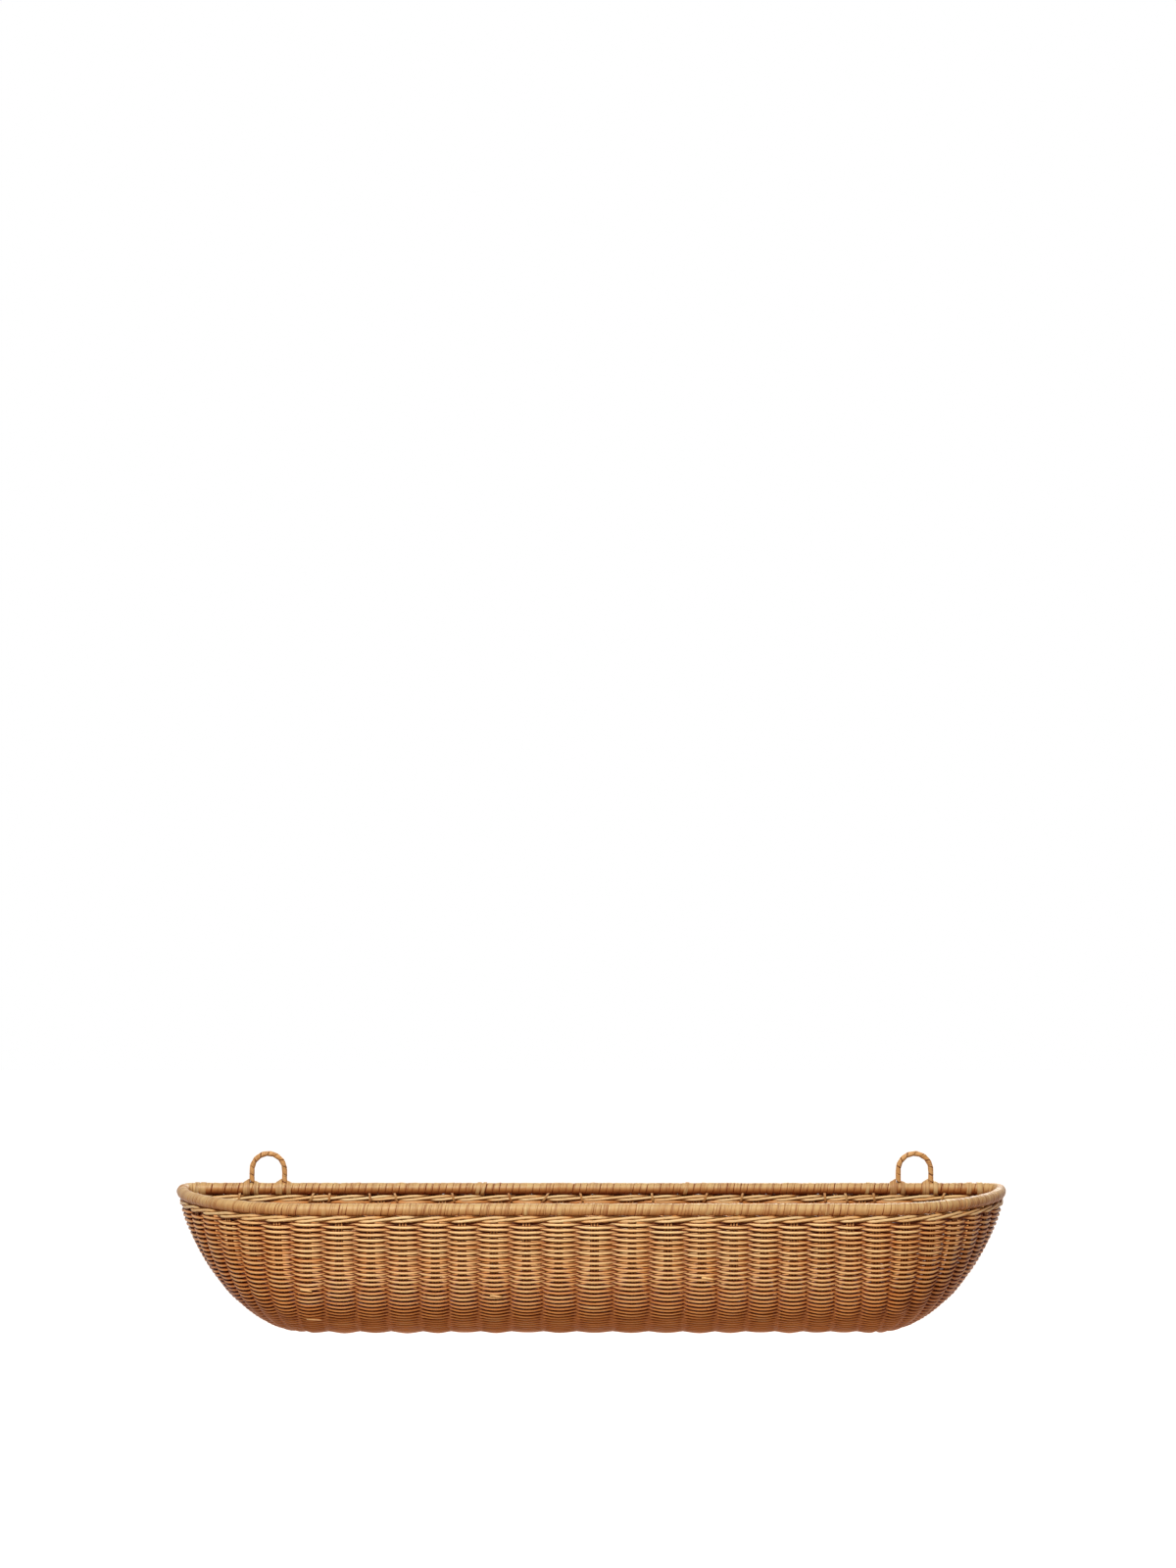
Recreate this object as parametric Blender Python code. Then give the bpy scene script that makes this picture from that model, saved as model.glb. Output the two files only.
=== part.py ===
"""Wall basket of woven rattan: a long boat shape with a flat back, a D-shaped rim bound
with peel, and two eyes standing on the back rail to hang it by.

Metres. +X runs along the wall, -Y comes out of the wall, +Z is up. The wall is the plane
y = 0, and z = 0 is the level of the hooks that the two eyes hang on.
"""
import math

import bmesh
import bpy
from mathutils import Vector

# Rim
RIM_HALF_LENGTH = 0.419        # wall centre to the rod's centre line at the far end
RIM_REACH = 0.184              # wall to the centre line of the front rod
RIM_ROD = 0.0088               # bare rod
RIM_PEEL = 0.0013              # thickness of the peel wound round it
RIM_CORNER_RADIUS = 0.012      # bend where the front rod turns to meet the back rail
RIM_END_FULLNESS = 1.8         # 2 is an ellipse, less is more pointed

# Stakes and weave
STAKE_PITCH = 0.031
STRAIGHT_PITCHES = 18          # between the first and the last stake that cross the base
FAN_PITCHES = 8                # round each end, from the straight part to the wall
STAKE_ROD = 0.0029
RODS_PER_STAKE = 3
WEAVER = 0.0026
FLUTE_DEPTH = 0.0024           # how far the weave draws in between two stakes
EDGE_STAKE_INSET = 0.006       # last stake of an end, measured from the back panel
BACK_END_STAKES = 3            # in each outer part of the back
BACK_END_BARE = 0.031          # outermost stretch of the back panel, too low for a stake
NARROW_SHARE = 0.55            # a fan stake takes no more than this share of its pitch
EDGE_ROOM_SHARE = 0.8          # the edge stake takes this share of the room beside the panel
BACK_STAKE_HOLD = 0.0052       # weave left below the foot of a stake of the back's outer parts

# Body
WALL_DROP = 0.1322             # rim centre to the middle of the base's thickness
BASE_REACH = 0.080             # wall to the front edge of the base
BASE_END_LENGTH = 0.028        # the base's round end, past its straight part
FRONT_FULLNESS = 2.3           # side profile of the front, 2 is an ellipse
END_FULLNESS = 1.52            # side profile of the two ends
BASE_BEND_RADIUS = 0.005       # stake bend from the back panel into the base
WALE_ROD = 0.0031
WALE_RODS = 3
WALE_NEST_SHARE = 0.75         # height of the twined rods, as a share of rods stacked loose

# How far each crossing stake stands off even spacing, left to right, as set by hand
STAKE_DRIFT_SHARES = (0, 0.01, 0.01, 0.03, 0.05, -0.10, -0.09, -0.06, -0.04, 0.09,
                      0.28, 0.42, 0.49, 0.50, 0.47, 0.40, 0.30, 0.17, 0)

# Hanging eyes
EYE_INSET = 0.086              # far end of the rim to the middle of an eye
EYE_WIDTH = 0.039              # outside
EYE_HEIGHT = 0.0389            # rim centre to the top of the eye
EYE_ROD = 0.0032
EYE_PEEL = 0.0008
LASHING_HEIGHT = 0.0055
LASHING_SPREAD = 0.0016        # how much wider a lashing is at its foot than at its top
LASHING_PEEL = 0.0008

# Fits
GAP = 0.0003                   # between pieces that touch
OVERRUN = 0.004                # how far a cutter runs past what it cuts

# Facets
LEVELS = 5                     # rows of faces down the front and the ends
RIM_SIDES = 10
EYE_SIDES = 8
EYE_STEPS = 8
CORNER_STEPS = 3
BEND_STEPS = 2                 # stake bend from the back panel into the base
BASE_END_STEPS = 4             # round end of the base
OUTLINE_STEPS = 96             # fine points of an end's outline, to measure along
SEARCH_STEPS = 48              # heights tried to find the lower edge of the back panel
NUDGE = 1 / 256                # step to either side that finds a direction
CREASE_ANGLE = math.radians(40)

# Worked out from the sizes above
STAKE_WIDTH = RODS_PER_STAKE * STAKE_ROD
WALL_THICK = STAKE_ROD + 2 * (WEAVER + GAP)
RIM_RADIUS = RIM_ROD / 2 + GAP + RIM_PEEL
EYE_RADIUS = EYE_ROD / 2 + GAP + EYE_PEEL
RIM_Z = 2 * EYE_RADIUS - EYE_HEIGHT
BASE_Z = RIM_Z - WALL_DROP
STRAIGHT_HALF = STAKE_PITCH * STRAIGHT_PITCHES / 2
BACK_END_ROOM = RIM_HALF_LENGTH - STRAIGHT_HALF - BACK_END_BARE
BACK_END_PITCH = min(STAKE_PITCH, BACK_END_ROOM / BACK_END_STAKES)
EYE_X = RIM_HALF_LENGTH - EYE_INSET
STAKE_TOP_Z = RIM_Z - RIM_RADIUS - GAP
WALE_STEP = WALE_NEST_SHARE * WALE_ROD
WALE_HEIGHT = WALE_RODS * WALE_STEP
WEAVE_TOP_Z = STAKE_TOP_Z - WALE_HEIGHT - GAP
BACK_Y = -RIM_RADIUS
BACK_FRONT_Y = BACK_Y - WALL_THICK / 2
END_START = -BACK_FRONT_Y + GAP
CORNER_REACH = RIM_RADIUS + RIM_CORNER_RADIUS

# Finishes: colour and roughness
REED = ((0.37, 0.17, 0.065), 0.50)
REED_DARK = ((0.30, 0.125, 0.045), 0.52)
PEEL = ((0.52, 0.27, 0.105), 0.40)
CORE = ((0.42, 0.21, 0.09), 0.45)


def clear_scene():
    for thing in list(bpy.data.objects):
        bpy.data.objects.remove(thing)


def rattan(name, finish):
    colour, roughness = finish
    made = bpy.data.materials.new(name)
    made.use_nodes = True
    shader = made.node_tree.nodes["Principled BSDF"]
    shader.inputs["Base Color"].default_value = (*colour, 1.0)
    shader.inputs["Roughness"].default_value = roughness
    shader.inputs["Metallic"].default_value = 0.0
    return made


def add_piece(name, shape, finish):
    """Turn a bmesh into a named object with its own material."""
    bmesh.ops.recalc_face_normals(shape, faces=shape.faces)
    mesh = bpy.data.meshes.new(name)
    shape.to_mesh(mesh)
    shape.free()
    mesh.shade_smooth()
    mesh.set_sharp_from_angle(angle=CREASE_ANGLE)
    piece = bpy.data.objects.new(name, mesh)
    piece.data.materials.append(rattan(name + "_finish", finish))
    bpy.context.collection.objects.link(piece)
    return piece


def hide_cutter(piece):
    piece.hide_render = True
    piece.display_type = "WIRE"


def cut_with(piece, cutter):
    cut = piece.modifiers.new("channels", "BOOLEAN")
    cut.operation = "DIFFERENCE"
    cut.solver = "EXACT"
    cut.object = cutter


def join_rings(shape, rings, closed_ring=True, split=False):
    """Skin the strips between neighbouring rings of vertices. Split strips have all their
    diagonals one way, so that a twisted bar and its channel stay an even gap apart."""
    for ring, following in zip(rings, rings[1:]):
        count = len(ring)
        for i in range(count if closed_ring else count - 1):
            j = (i + 1) % count
            if split:
                shape.faces.new((ring[i], ring[j], following[j]))
                shape.faces.new((ring[i], following[j], following[i]))
            else:
                shape.faces.new((ring[i], ring[j], following[j], following[i]))


def loft(rings, shape=None):
    """A solid bar through rings of points, closed by a face at each end."""
    shape = shape or bmesh.new()
    made = [[shape.verts.new(point) for point in ring] for ring in rings]
    join_rings(shape, made, split=True)
    shape.faces.new(made[0])
    shape.faces.new(made[-1])
    return shape


def loft_hollow(outer, inner):
    """An open-ended sleeve between two sets of rings."""
    shape = bmesh.new()
    outside = [[shape.verts.new(point) for point in ring] for ring in outer]
    inside = [[shape.verts.new(point) for point in ring] for ring in inner]
    join_rings(shape, outside)
    join_rings(shape, inside)
    join_rings(shape, [outside[0], inside[0]])
    join_rings(shape, [outside[-1], inside[-1]])
    return shape


def directions(path):
    """Unit directions of a path, halved at its corners."""
    found = []
    for i in range(len(path)):
        before = path[max(i - 1, 0)]
        after = path[min(i + 1, len(path) - 1)]
        found.append((after - before).normalized())
    return found


def round_rings(path, radius, sides, up):
    """Circles square to a path that lies in the plane at right angles to up."""
    rings = []
    for point, along in zip(path, directions(path)):
        across = along.cross(up).normalized()
        turns = [2 * math.pi * k / sides for k in range(sides)]
        rings.append([point + radius * (math.cos(a) * across + math.sin(a) * up) for a in turns])
    return rings


def powers(angle, fullness):
    """Superellipse: the two shares of the half axes at an angle."""
    grow = 2 / fullness
    return abs(math.cos(angle)) ** grow, abs(math.sin(angle)) ** grow


def end_curve(end_length, reach, start):
    """Fine points of one end's outline, from the wall round to the straight part."""
    points = [Vector((STRAIGHT_HALF + end_length, -start, 0))]
    for k in range(OUTLINE_STEPS + 1):
        along, out = powers(math.pi / 2 * k / OUTLINE_STEPS, RIM_END_FULLNESS)
        depth = CORNER_REACH + (reach - CORNER_REACH) * out
        points.append(Vector((STRAIGHT_HALF + end_length * along, -depth, 0)))
    return points


def at_share(points, share):
    """The point at a share of a path's length."""
    lengths = [0.0]
    for a, b in zip(points, points[1:]):
        lengths.append(lengths[-1] + (b - a).length)
    wanted = share * lengths[-1]
    for i in range(1, len(points)):
        if lengths[i] >= wanted:
            span = lengths[i] - lengths[i - 1]
            mix = (wanted - lengths[i - 1]) / span if span else 0.0
            return points[i - 1].lerp(points[i], mix)
    return points[-1].copy()


RIM_CURVE = end_curve(RIM_HALF_LENGTH - STRAIGHT_HALF, RIM_REACH, END_START)
BASE_CURVE = end_curve(BASE_END_LENGTH, BASE_REACH, END_START)
RIM_END_ARC = sum((b - a).length for a, b in zip(RIM_CURVE, RIM_CURVE[1:]))
BASE_END_ARC = sum((b - a).length for a, b in zip(BASE_CURVE, BASE_CURVE[1:]))


def outline_pair(place):
    """Rim and base points of a column. |place| is 0 in the middle of the front, 1 where the
    straight part ends and 2 at the wall; its sign is the side."""
    side = -1.0 if place < 0 else 1.0
    amount = abs(place)
    if amount <= 1:
        x = STRAIGHT_HALF * amount
        rim, base = Vector((x, -RIM_REACH, 0)), Vector((x, -BASE_REACH, 0))
    else:
        rim, base = at_share(RIM_CURVE, 2 - amount), at_share(BASE_CURVE, 2 - amount)
    return Vector((side * rim.x, rim.y, 0)), Vector((side * base.x, base.y, 0))


def fullness_at(place):
    turned = min(max(abs(place) - 1, 0.0), 1.0)
    return FRONT_FULLNESS + (END_FULLNESS - FRONT_FULLNESS) * math.sin(math.pi / 2 * turned) ** 2


def wall_point(place, angle):
    """Middle of the wall's thickness: angle 0 is level with the rim, a right angle the base."""
    rim, base = outline_pair(place)
    inward, down = powers(angle, fullness_at(place))
    point = base + (rim - base) * inward
    return Vector((point.x, point.y, RIM_Z - WALL_DROP * down))


def start_angle(place, z):
    """The angle at which a column passes a height."""
    share = (RIM_Z - z) / WALL_DROP
    return math.asin(share ** (fullness_at(place) / 2))


def level_angles(place, top_z):
    first = start_angle(place, top_z)
    return [first + (math.pi / 2 - first) * k / LEVELS for k in range(LEVELS + 1)]


def wall_frame(place, angle):
    """Point, outward normal and down direction of the wall's middle surface."""
    here = wall_point(place, angle)
    above = wall_point(place, max(angle - NUDGE, NUDGE))
    below = wall_point(place, min(angle + NUDGE, math.pi / 2))
    down = (below - above).normalized()
    left = wall_point(max(place - NUDGE, -2.0), angle)
    right = wall_point(min(place + NUDGE, 2.0), angle)
    along = (right - left).normalized()
    if angle > math.pi / 2 - NUDGE:
        rim, base = outline_pair(place)
        down = (base - rim).normalized()
    outward = down.cross(along).normalized()
    return here, outward, down


def level(direction):
    """The same direction without its climb."""
    return Vector((direction.x, direction.y, 0)).normalized()


def crossing_xs():
    """Places along the wall of the stakes that cross the base."""
    found = []
    for i in range(STRAIGHT_PITCHES + 1):
        drift = STAKE_DRIFT_SHARES[i % len(STAKE_DRIFT_SHARES)]
        found.append((i + drift) * STAKE_PITCH - STRAIGHT_HALF)
    return found


def back_end_xs():
    """Places of the stakes that stand in one outer part of the back only."""
    return [STRAIGHT_HALF + (k + 1) * BACK_END_PITCH for k in range(BACK_END_STAKES)]


def stake_places():
    """Places of all stakes round the front, from the left wall edge to the right one."""
    straight = [x / STRAIGHT_HALF for x in crossing_xs()]
    fan = [1 + k / FAN_PITCHES for k in range(1, FAN_PITCHES)]
    edge = 2 - EDGE_STAKE_INSET / RIM_END_ARC
    right = fan + [edge]
    return [-p for p in reversed(right)] + straight + right


def stake_width_at(place, angle):
    """A stake keeps its width on the straight part and narrows towards the base in the fan."""
    if abs(place) <= 1 + 1 / FAN_PITCHES / 2:
        return STAKE_WIDTH
    inward, _ = powers(angle, fullness_at(place))
    arc = BASE_END_ARC + (RIM_END_ARC - BASE_END_ARC) * inward
    room = 2 * EDGE_ROOM_SHARE * (2 - abs(place)) * arc
    return min(STAKE_WIDTH, NARROW_SHARE * arc / FAN_PITCHES, room)


def stake_ring(point, outward, across, width, thick):
    """Six-sided outline of rods lying side by side."""
    half, edge, t = width / 2, max(width - thick, 0.0) / 2, thick / 2
    spots = ((half, 0), (edge, t), (-edge, t), (-half, 0), (-edge, -t), (edge, -t))
    return [point + a * across + b * outward for a, b in spots]


def channel_ring(point, outward, across, width, thick, twisted):
    """Outline that clears a stake by the gap all round: the stake's own outline where the
    stake twists, and a plain four-sided one where it stays in one plane."""
    if twisted:
        return stake_ring(point, outward, across, width + 2 * GAP, thick + 2 * GAP)
    half, t = width / 2 + GAP, thick / 2 + GAP
    spots = ((half, t), (-half, t), (-half, -t), (half, -t))
    return [point + a * across + b * outward for a, b in spots]


def stretched(stations):
    """The same stations with both ends run on, for a cutter."""
    first, last = list(stations[0]), list(stations[-1])
    first[0] = first[0] + (stations[0][0] - stations[1][0]).normalized() * OVERRUN
    last[0] = last[0] + (stations[-1][0] - stations[-2][0]).normalized() * OVERRUN
    return [first] + stations[1:-1] + [last]


def front_stations(place):
    """Stations of a stake in the front or an end, from the rim down."""
    point, outward, down = wall_frame(place, start_angle(place, STAKE_TOP_Z))
    found = [[point, outward, outward.cross(down), stake_width_at(place, 0.0)]]
    for angle in level_angles(place, WEAVE_TOP_Z):
        point, outward, down = wall_frame(place, angle)
        found.append([point, outward, outward.cross(down), stake_width_at(place, angle)])
    return found


def crossing_stations(x):
    """Stations of a stake that runs up the back, under the base and up the front."""
    across = Vector((1, 0, 0))
    found = [[Vector((x, BACK_Y, STAKE_TOP_Z)), Vector((0, 1, 0)), across, STAKE_WIDTH]]
    turn_y = BACK_Y - BASE_BEND_RADIUS
    turn_z = BASE_Z + BASE_BEND_RADIUS
    for k in range(BEND_STEPS + 1):
        angle = math.pi / 2 * k / BEND_STEPS
        out = Vector((0, math.cos(angle), -math.sin(angle)))
        centre = Vector((x, turn_y, turn_z))
        found.append([centre + BASE_BEND_RADIUS * out, out, across, STAKE_WIDTH])
    for point, outward, _, width in reversed(front_stations(x / STRAIGHT_HALF)):
        found.append([point, outward, across, width])
    return found


def back_stations(x, bottom_z):
    out, across = Vector((0, 1, 0)), Vector((1, 0, 0))
    ends = (STAKE_TOP_Z, bottom_z)
    return [[Vector((x, BACK_Y, z)), out, across, STAKE_WIDTH] for z in ends]


def stake(name, stations, channels, twisted=False):
    """One group of rods, and the same run added to the cutter for its channel."""
    rings = [stake_ring(p, out, side, width, STAKE_ROD) for p, out, side, width in stations]
    add_piece(name, loft(rings), CORE)
    wide = []
    for point, out, side, width in stretched(stations):
        wide.append(channel_ring(point, out, side, width, STAKE_ROD, twisted))
    loft(wide, channels)


def back_edge(z):
    """Half width of the back panel at a height, on the outer skin of the ends."""
    point, outward, _ = wall_frame(2.0, start_angle(2.0, z))
    return point.x + outward.x * WALL_THICK / 2


def back_bottom(x):
    """Lower edge of the back panel below a place along the wall."""
    lowest = BASE_Z - WALL_THICK / 2
    rise = math.pi / 2 - start_angle(2.0, WEAVE_TOP_Z)
    for k in range(SEARCH_STEPS + 1):
        point, outward, _ = wall_frame(2.0, math.pi / 2 - rise * k / SEARCH_STEPS)
        outer = point + outward * WALL_THICK / 2
        if outer.x >= abs(x):
            return max(outer.z, lowest)
    return WEAVE_TOP_Z


def stakes():
    """All stakes, and the one cutter that opens their channels in the weave."""
    channels = bmesh.new()
    for i, x in enumerate(crossing_xs()):
        stake(f"cross_stake_{i + 1:02d}", crossing_stations(x), channels)
    for side, sign in (("left", -1), ("right", 1)):
        for k in range(1, FAN_PITCHES):
            stations = front_stations(sign * (1 + k / FAN_PITCHES))
            stake(f"{side}_fan_stake_{k}", stations, channels, twisted=True)
        edge = sign * (2 - EDGE_STAKE_INSET / RIM_END_ARC)
        stake(f"{side}_edge_stake", front_stations(edge), channels, twisted=True)
        for k, x in enumerate(back_end_xs()):
            bottom = back_bottom(x + STAKE_WIDTH / 2) + BACK_STAKE_HOLD
            stake(f"{side}_back_stake_{k + 1}", back_stations(sign * x, bottom), channels)
    cutter = add_piece("channels", channels, CORE)
    hide_cutter(cutter)
    return cutter


def with_valleys(places, flat=0.0):
    """Columns of a panel: a ridge on each stake, which may be flat for some way to each
    side of its middle, and a valley between two stakes."""
    columns = []
    for i, place in enumerate(places):
        if i:
            columns.append(((places[i - 1] + place) / 2, True))
        if flat:
            columns.extend([(place - flat, False), (place + flat, False)])
        else:
            columns.append((place, False))
    return columns


def sheet(grid):
    """A closed slab from a grid of (outer, inner) points, rows of columns."""
    shape = bmesh.new()
    outer = [[shape.verts.new(pair[0]) for pair in row] for row in grid]
    inner = [[shape.verts.new(pair[1]) for pair in row] for row in grid]
    join_rings(shape, outer, closed_ring=False)
    join_rings(shape, inner, closed_ring=False)
    join_rings(shape, [outer[0], inner[0]], closed_ring=False)
    join_rings(shape, [outer[-1], inner[-1]], closed_ring=False)
    left = [[a[0], b[0]] for a, b in zip(outer, inner)]
    right = [[a[-1], b[-1]] for a, b in zip(outer, inner)]
    join_rings(shape, left, closed_ring=False)
    join_rings(shape, right, closed_ring=False)
    return shape


def half_thickness(valley):
    return WALL_THICK / 2 - (FLUTE_DEPTH if valley else 0.0)


def woven_front(channels):
    """Front and both ends in one sheet, fluted over its stakes."""
    columns = with_valleys(stake_places())
    columns = [(-2.0, False)] + columns + [(2.0, False)]
    grid = []
    for row in range(LEVELS + 1):
        points = []
        for place, valley in columns:
            point, outward, _ = wall_frame(place, level_angles(place, WEAVE_TOP_Z)[row])
            if row == 0:
                outward = level(outward)
            reach = outward * half_thickness(valley)
            points.append((point + reach, point - reach))
        grid.append(points)
    piece = add_piece("woven_front", sheet(grid), REED)
    cut_with(piece, channels)


def woven_back(channels):
    """Flat panel against the wall, its lower corners cut to the curve of the ends."""
    ends = back_end_xs()
    places = [-x for x in reversed(ends)] + crossing_xs() + ends
    columns = with_valleys(places, STAKE_WIDTH / 2)
    last = back_edge(WEAVE_TOP_Z - WALE_HEIGHT)
    mid = (columns[-1][0] + last) / 2
    columns = [(-last, False), (-mid, True)] + columns + [(mid, True), (last, False)]
    top, bottom = [], []
    for x, valley in columns:
        reach = Vector((0, half_thickness(valley), 0))
        for row, z in ((top, WEAVE_TOP_Z), (bottom, back_bottom(x))):
            middle = Vector((x, BACK_Y, z))
            row.append((middle + reach, middle - reach))
    grid = [top, bottom]
    piece = add_piece("woven_back", sheet(grid), REED_DARK)
    cut_with(piece, channels)


def woven_base(channels):
    """Flat bottom between the back panel and the lower edge of the front."""
    columns = with_valleys(crossing_xs(), STAKE_WIDTH / 2)
    columns[0] = (-STRAIGHT_HALF, False)
    columns[-1] = (STRAIGHT_HALF, False)
    ends = []
    for k in range(1, BASE_END_STEPS + 1):
        ends.append(at_share(BASE_CURVE, 1 - k / (BASE_END_STEPS + 1)))
    spots = [(x, -BASE_REACH, valley) for x, valley in columns]
    spots = [(-p.x, p.y, False) for p in reversed(ends)] + spots + [(p.x, p.y, False) for p in ends]
    rear_row, front_row = [], []
    for x, front, valley in spots:
        narrow = GAP if abs(x) > STRAIGHT_HALF else 0.0
        reach = Vector((0, 0, -half_thickness(valley)))
        for row, y in ((rear_row, BACK_FRONT_Y - GAP), (front_row, front + GAP)):
            middle = Vector((x - math.copysign(narrow, x), y, BASE_Z))
            row.append((middle + reach, middle - reach))
    grid = [rear_row, front_row]
    piece = add_piece("woven_base", sheet(grid), REED_DARK)
    cut_with(piece, channels)


def wale_outline():
    """Outline of stacked rods as (out, up) pairs, up measured from the top down."""
    swell, waist = WALL_THICK / 2, WALL_THICK / 2 - WALE_ROD / 4
    outer = [(waist, 0.0)]
    for k in range(WALE_RODS):
        outer.append((swell, -(k + 1 / 2) * WALE_STEP))
        outer.append((waist, -(k + 1) * WALE_STEP))
    return outer + [(-out, up) for out, up in reversed(outer)]


def front_wale(channels):
    """Three stout rods twined under the rim, round the front and both ends."""
    fan = [1 + k / FAN_PITCHES for k in range(FAN_PITCHES + 1)]
    places = [-p for p in reversed(fan)] + fan
    middle_z = STAKE_TOP_Z - WALE_HEIGHT / 2
    rings = []
    for place in places:
        point, outward, _ = wall_frame(place, start_angle(place, middle_z))
        base = Vector((point.x, point.y, STAKE_TOP_Z))
        flat = level(outward)
        rings.append([base + flat * out + Vector((0, 0, up)) for out, up in wale_outline()])
    piece = add_piece("front_wale", loft(rings), PEEL)
    cut_with(piece, channels)


def back_wale(channels):
    """The same three rods along the back, between the rail and the woven panel."""
    rings = []
    reach = RIM_HALF_LENGTH + WALL_THICK / 2
    for x in (-reach, reach):
        base = Vector((x, BACK_Y, STAKE_TOP_Z))
        rings.append([base + Vector((0, out, up)) for out, up in wale_outline()])
    piece = add_piece("back_wale", loft(rings), PEEL)
    cut_with(piece, channels)


def rim_corner(side):
    """Points of the bend at the wall, from the rail's end to the start of the end curve."""
    centre = Vector((RIM_HALF_LENGTH - RIM_CORNER_RADIUS, BACK_Y - RIM_CORNER_RADIUS, RIM_Z))
    points = [Vector((side * (centre.x - RIM_ROD), BACK_Y, RIM_Z))]
    for k in range(CORNER_STEPS + 1):
        angle = math.pi / 2 * (1 - k / CORNER_STEPS)
        swing = Vector((math.cos(angle), math.sin(angle), 0))
        point = centre + RIM_CORNER_RADIUS * swing
        points.append(Vector((side * point.x, point.y, point.z)))
    return points


def hoop_path():
    """Centre line of the front rod from its left end to its right end."""
    curve = []
    for k in range(1, FAN_PITCHES + 1):
        along, out = powers(math.pi / 2 * k / FAN_PITCHES, RIM_END_FULLNESS)
        x = STRAIGHT_HALF + (RIM_HALF_LENGTH - STRAIGHT_HALF) * along
        y = CORNER_REACH + (RIM_REACH - CORNER_REACH) * out
        curve.append(Vector((x, -y, RIM_Z)))
    right = rim_corner(1) + curve
    left = [Vector((-p.x, p.y, p.z)) for p in right]
    return left + list(reversed(right))


def rail_path():
    """Centre line of the back rail, which meets the two turned ends of the front rod."""
    reach = RIM_HALF_LENGTH - RIM_CORNER_RADIUS - RIM_ROD - GAP
    return [Vector((-reach, BACK_Y, RIM_Z)), Vector((reach, BACK_Y, RIM_Z))]


def sleeve_bore(rod, sides):
    """Corner radius of a many-sided bore whose flats clear a round rod by the gap."""
    return rod / 2 / math.cos(math.pi / sides) + GAP


def bound_rod(name, path, wrap_path, rod, radius, sides, up):
    """A bare rod, and the sleeve of peel wound round it along its own stretch."""
    add_piece(name + "_core", loft(round_rings(path, rod / 2, sides, up)), CORE)
    outer = round_rings(wrap_path, radius, sides, up)
    inner = round_rings(wrap_path, sleeve_bore(rod, sides), sides, up)
    return add_piece(name + "_wrap", loft_hollow(outer, inner), PEEL)


def eye_path(side):
    """Centre line of a hanging eye: two legs in the rail and a round head."""
    radius = EYE_WIDTH / 2 - EYE_RADIUS
    centre = Vector((side * EYE_X, BACK_Y, RIM_Z + EYE_HEIGHT - EYE_RADIUS - radius))
    foot = RIM_Z + RIM_ROD / 2 + GAP
    path = [Vector((centre.x - radius, BACK_Y, foot))]
    for k in range(EYE_STEPS + 1):
        angle = math.pi * (1 - k / EYE_STEPS)
        path.append(centre + radius * Vector((math.cos(angle), 0, math.sin(angle))))
    path.append(Vector((centre.x + radius, BACK_Y, foot)))
    return path


def level_ring(x, z, radius):
    """Circle round an upright leg of an eye."""
    turns = [2 * math.pi * k / EYE_SIDES for k in range(EYE_SIDES)]
    centre = Vector((x, BACK_Y, z))
    return [centre + radius * Vector((math.cos(a), math.sin(a), 0)) for a in turns]


def lashing(name, x):
    """A flared sleeve that stands on the rail round one leg of an eye."""
    bore = EYE_RADIUS / math.cos(math.pi / EYE_SIDES) + GAP
    narrow = bore + LASHING_PEEL
    foot_z = RIM_Z + RIM_RADIUS + GAP
    top_z = foot_z + LASHING_HEIGHT
    outer = [level_ring(x, foot_z, narrow + LASHING_SPREAD), level_ring(x, top_z, narrow)]
    inner = [level_ring(x, foot_z, bore), level_ring(x, top_z, bore)]
    add_piece(name, loft_hollow(outer, inner), PEEL)


def hanging_eye(name, side, leg_holes):
    """The eye's rod, the peel round it, and the lashings and holes at its two feet."""
    out = Vector((0, -1, 0))
    path = eye_path(side)
    wrap_path = [p.copy() for p in path]
    wrap_path[0].z = wrap_path[-1].z = RIM_Z + RIM_RADIUS + GAP
    bound_rod(name, path, wrap_path, EYE_ROD, EYE_RADIUS, EYE_SIDES, out)
    inner_foot, outer_foot = (path[0], path[-1]) if side > 0 else (path[-1], path[0])
    for foot, end in (("inner", inner_foot), ("outer", outer_foot)):
        lashing(f"{name}_{foot}_lashing", end.x)
        hole = [end - Vector((0, 0, GAP / 2)), end + Vector((0, 0, OVERRUN))]
        loft(round_rings(hole, sleeve_bore(EYE_ROD, EYE_SIDES), EYE_SIDES, out), leg_holes)


def build():
    clear_scene()
    channels = stakes()
    woven_front(channels)
    woven_back(channels)
    woven_base(channels)
    front_wale(channels)
    back_wale(channels)
    up = Vector((0, 0, 1))
    hoop, rail = hoop_path(), rail_path()
    bound_rod("front_rim", hoop, hoop, RIM_ROD, RIM_RADIUS, RIM_SIDES, up)
    rail_wrap = bound_rod("back_rim", rail, rail, RIM_ROD, RIM_RADIUS, RIM_SIDES, up)
    leg_holes = bmesh.new()
    hanging_eye("left_eye", -1, leg_holes)
    hanging_eye("right_eye", 1, leg_holes)
    cutter = add_piece("leg_holes", leg_holes, CORE)
    hide_cutter(cutter)
    cut_with(rail_wrap, cutter)


build()
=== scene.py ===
import math

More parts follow.
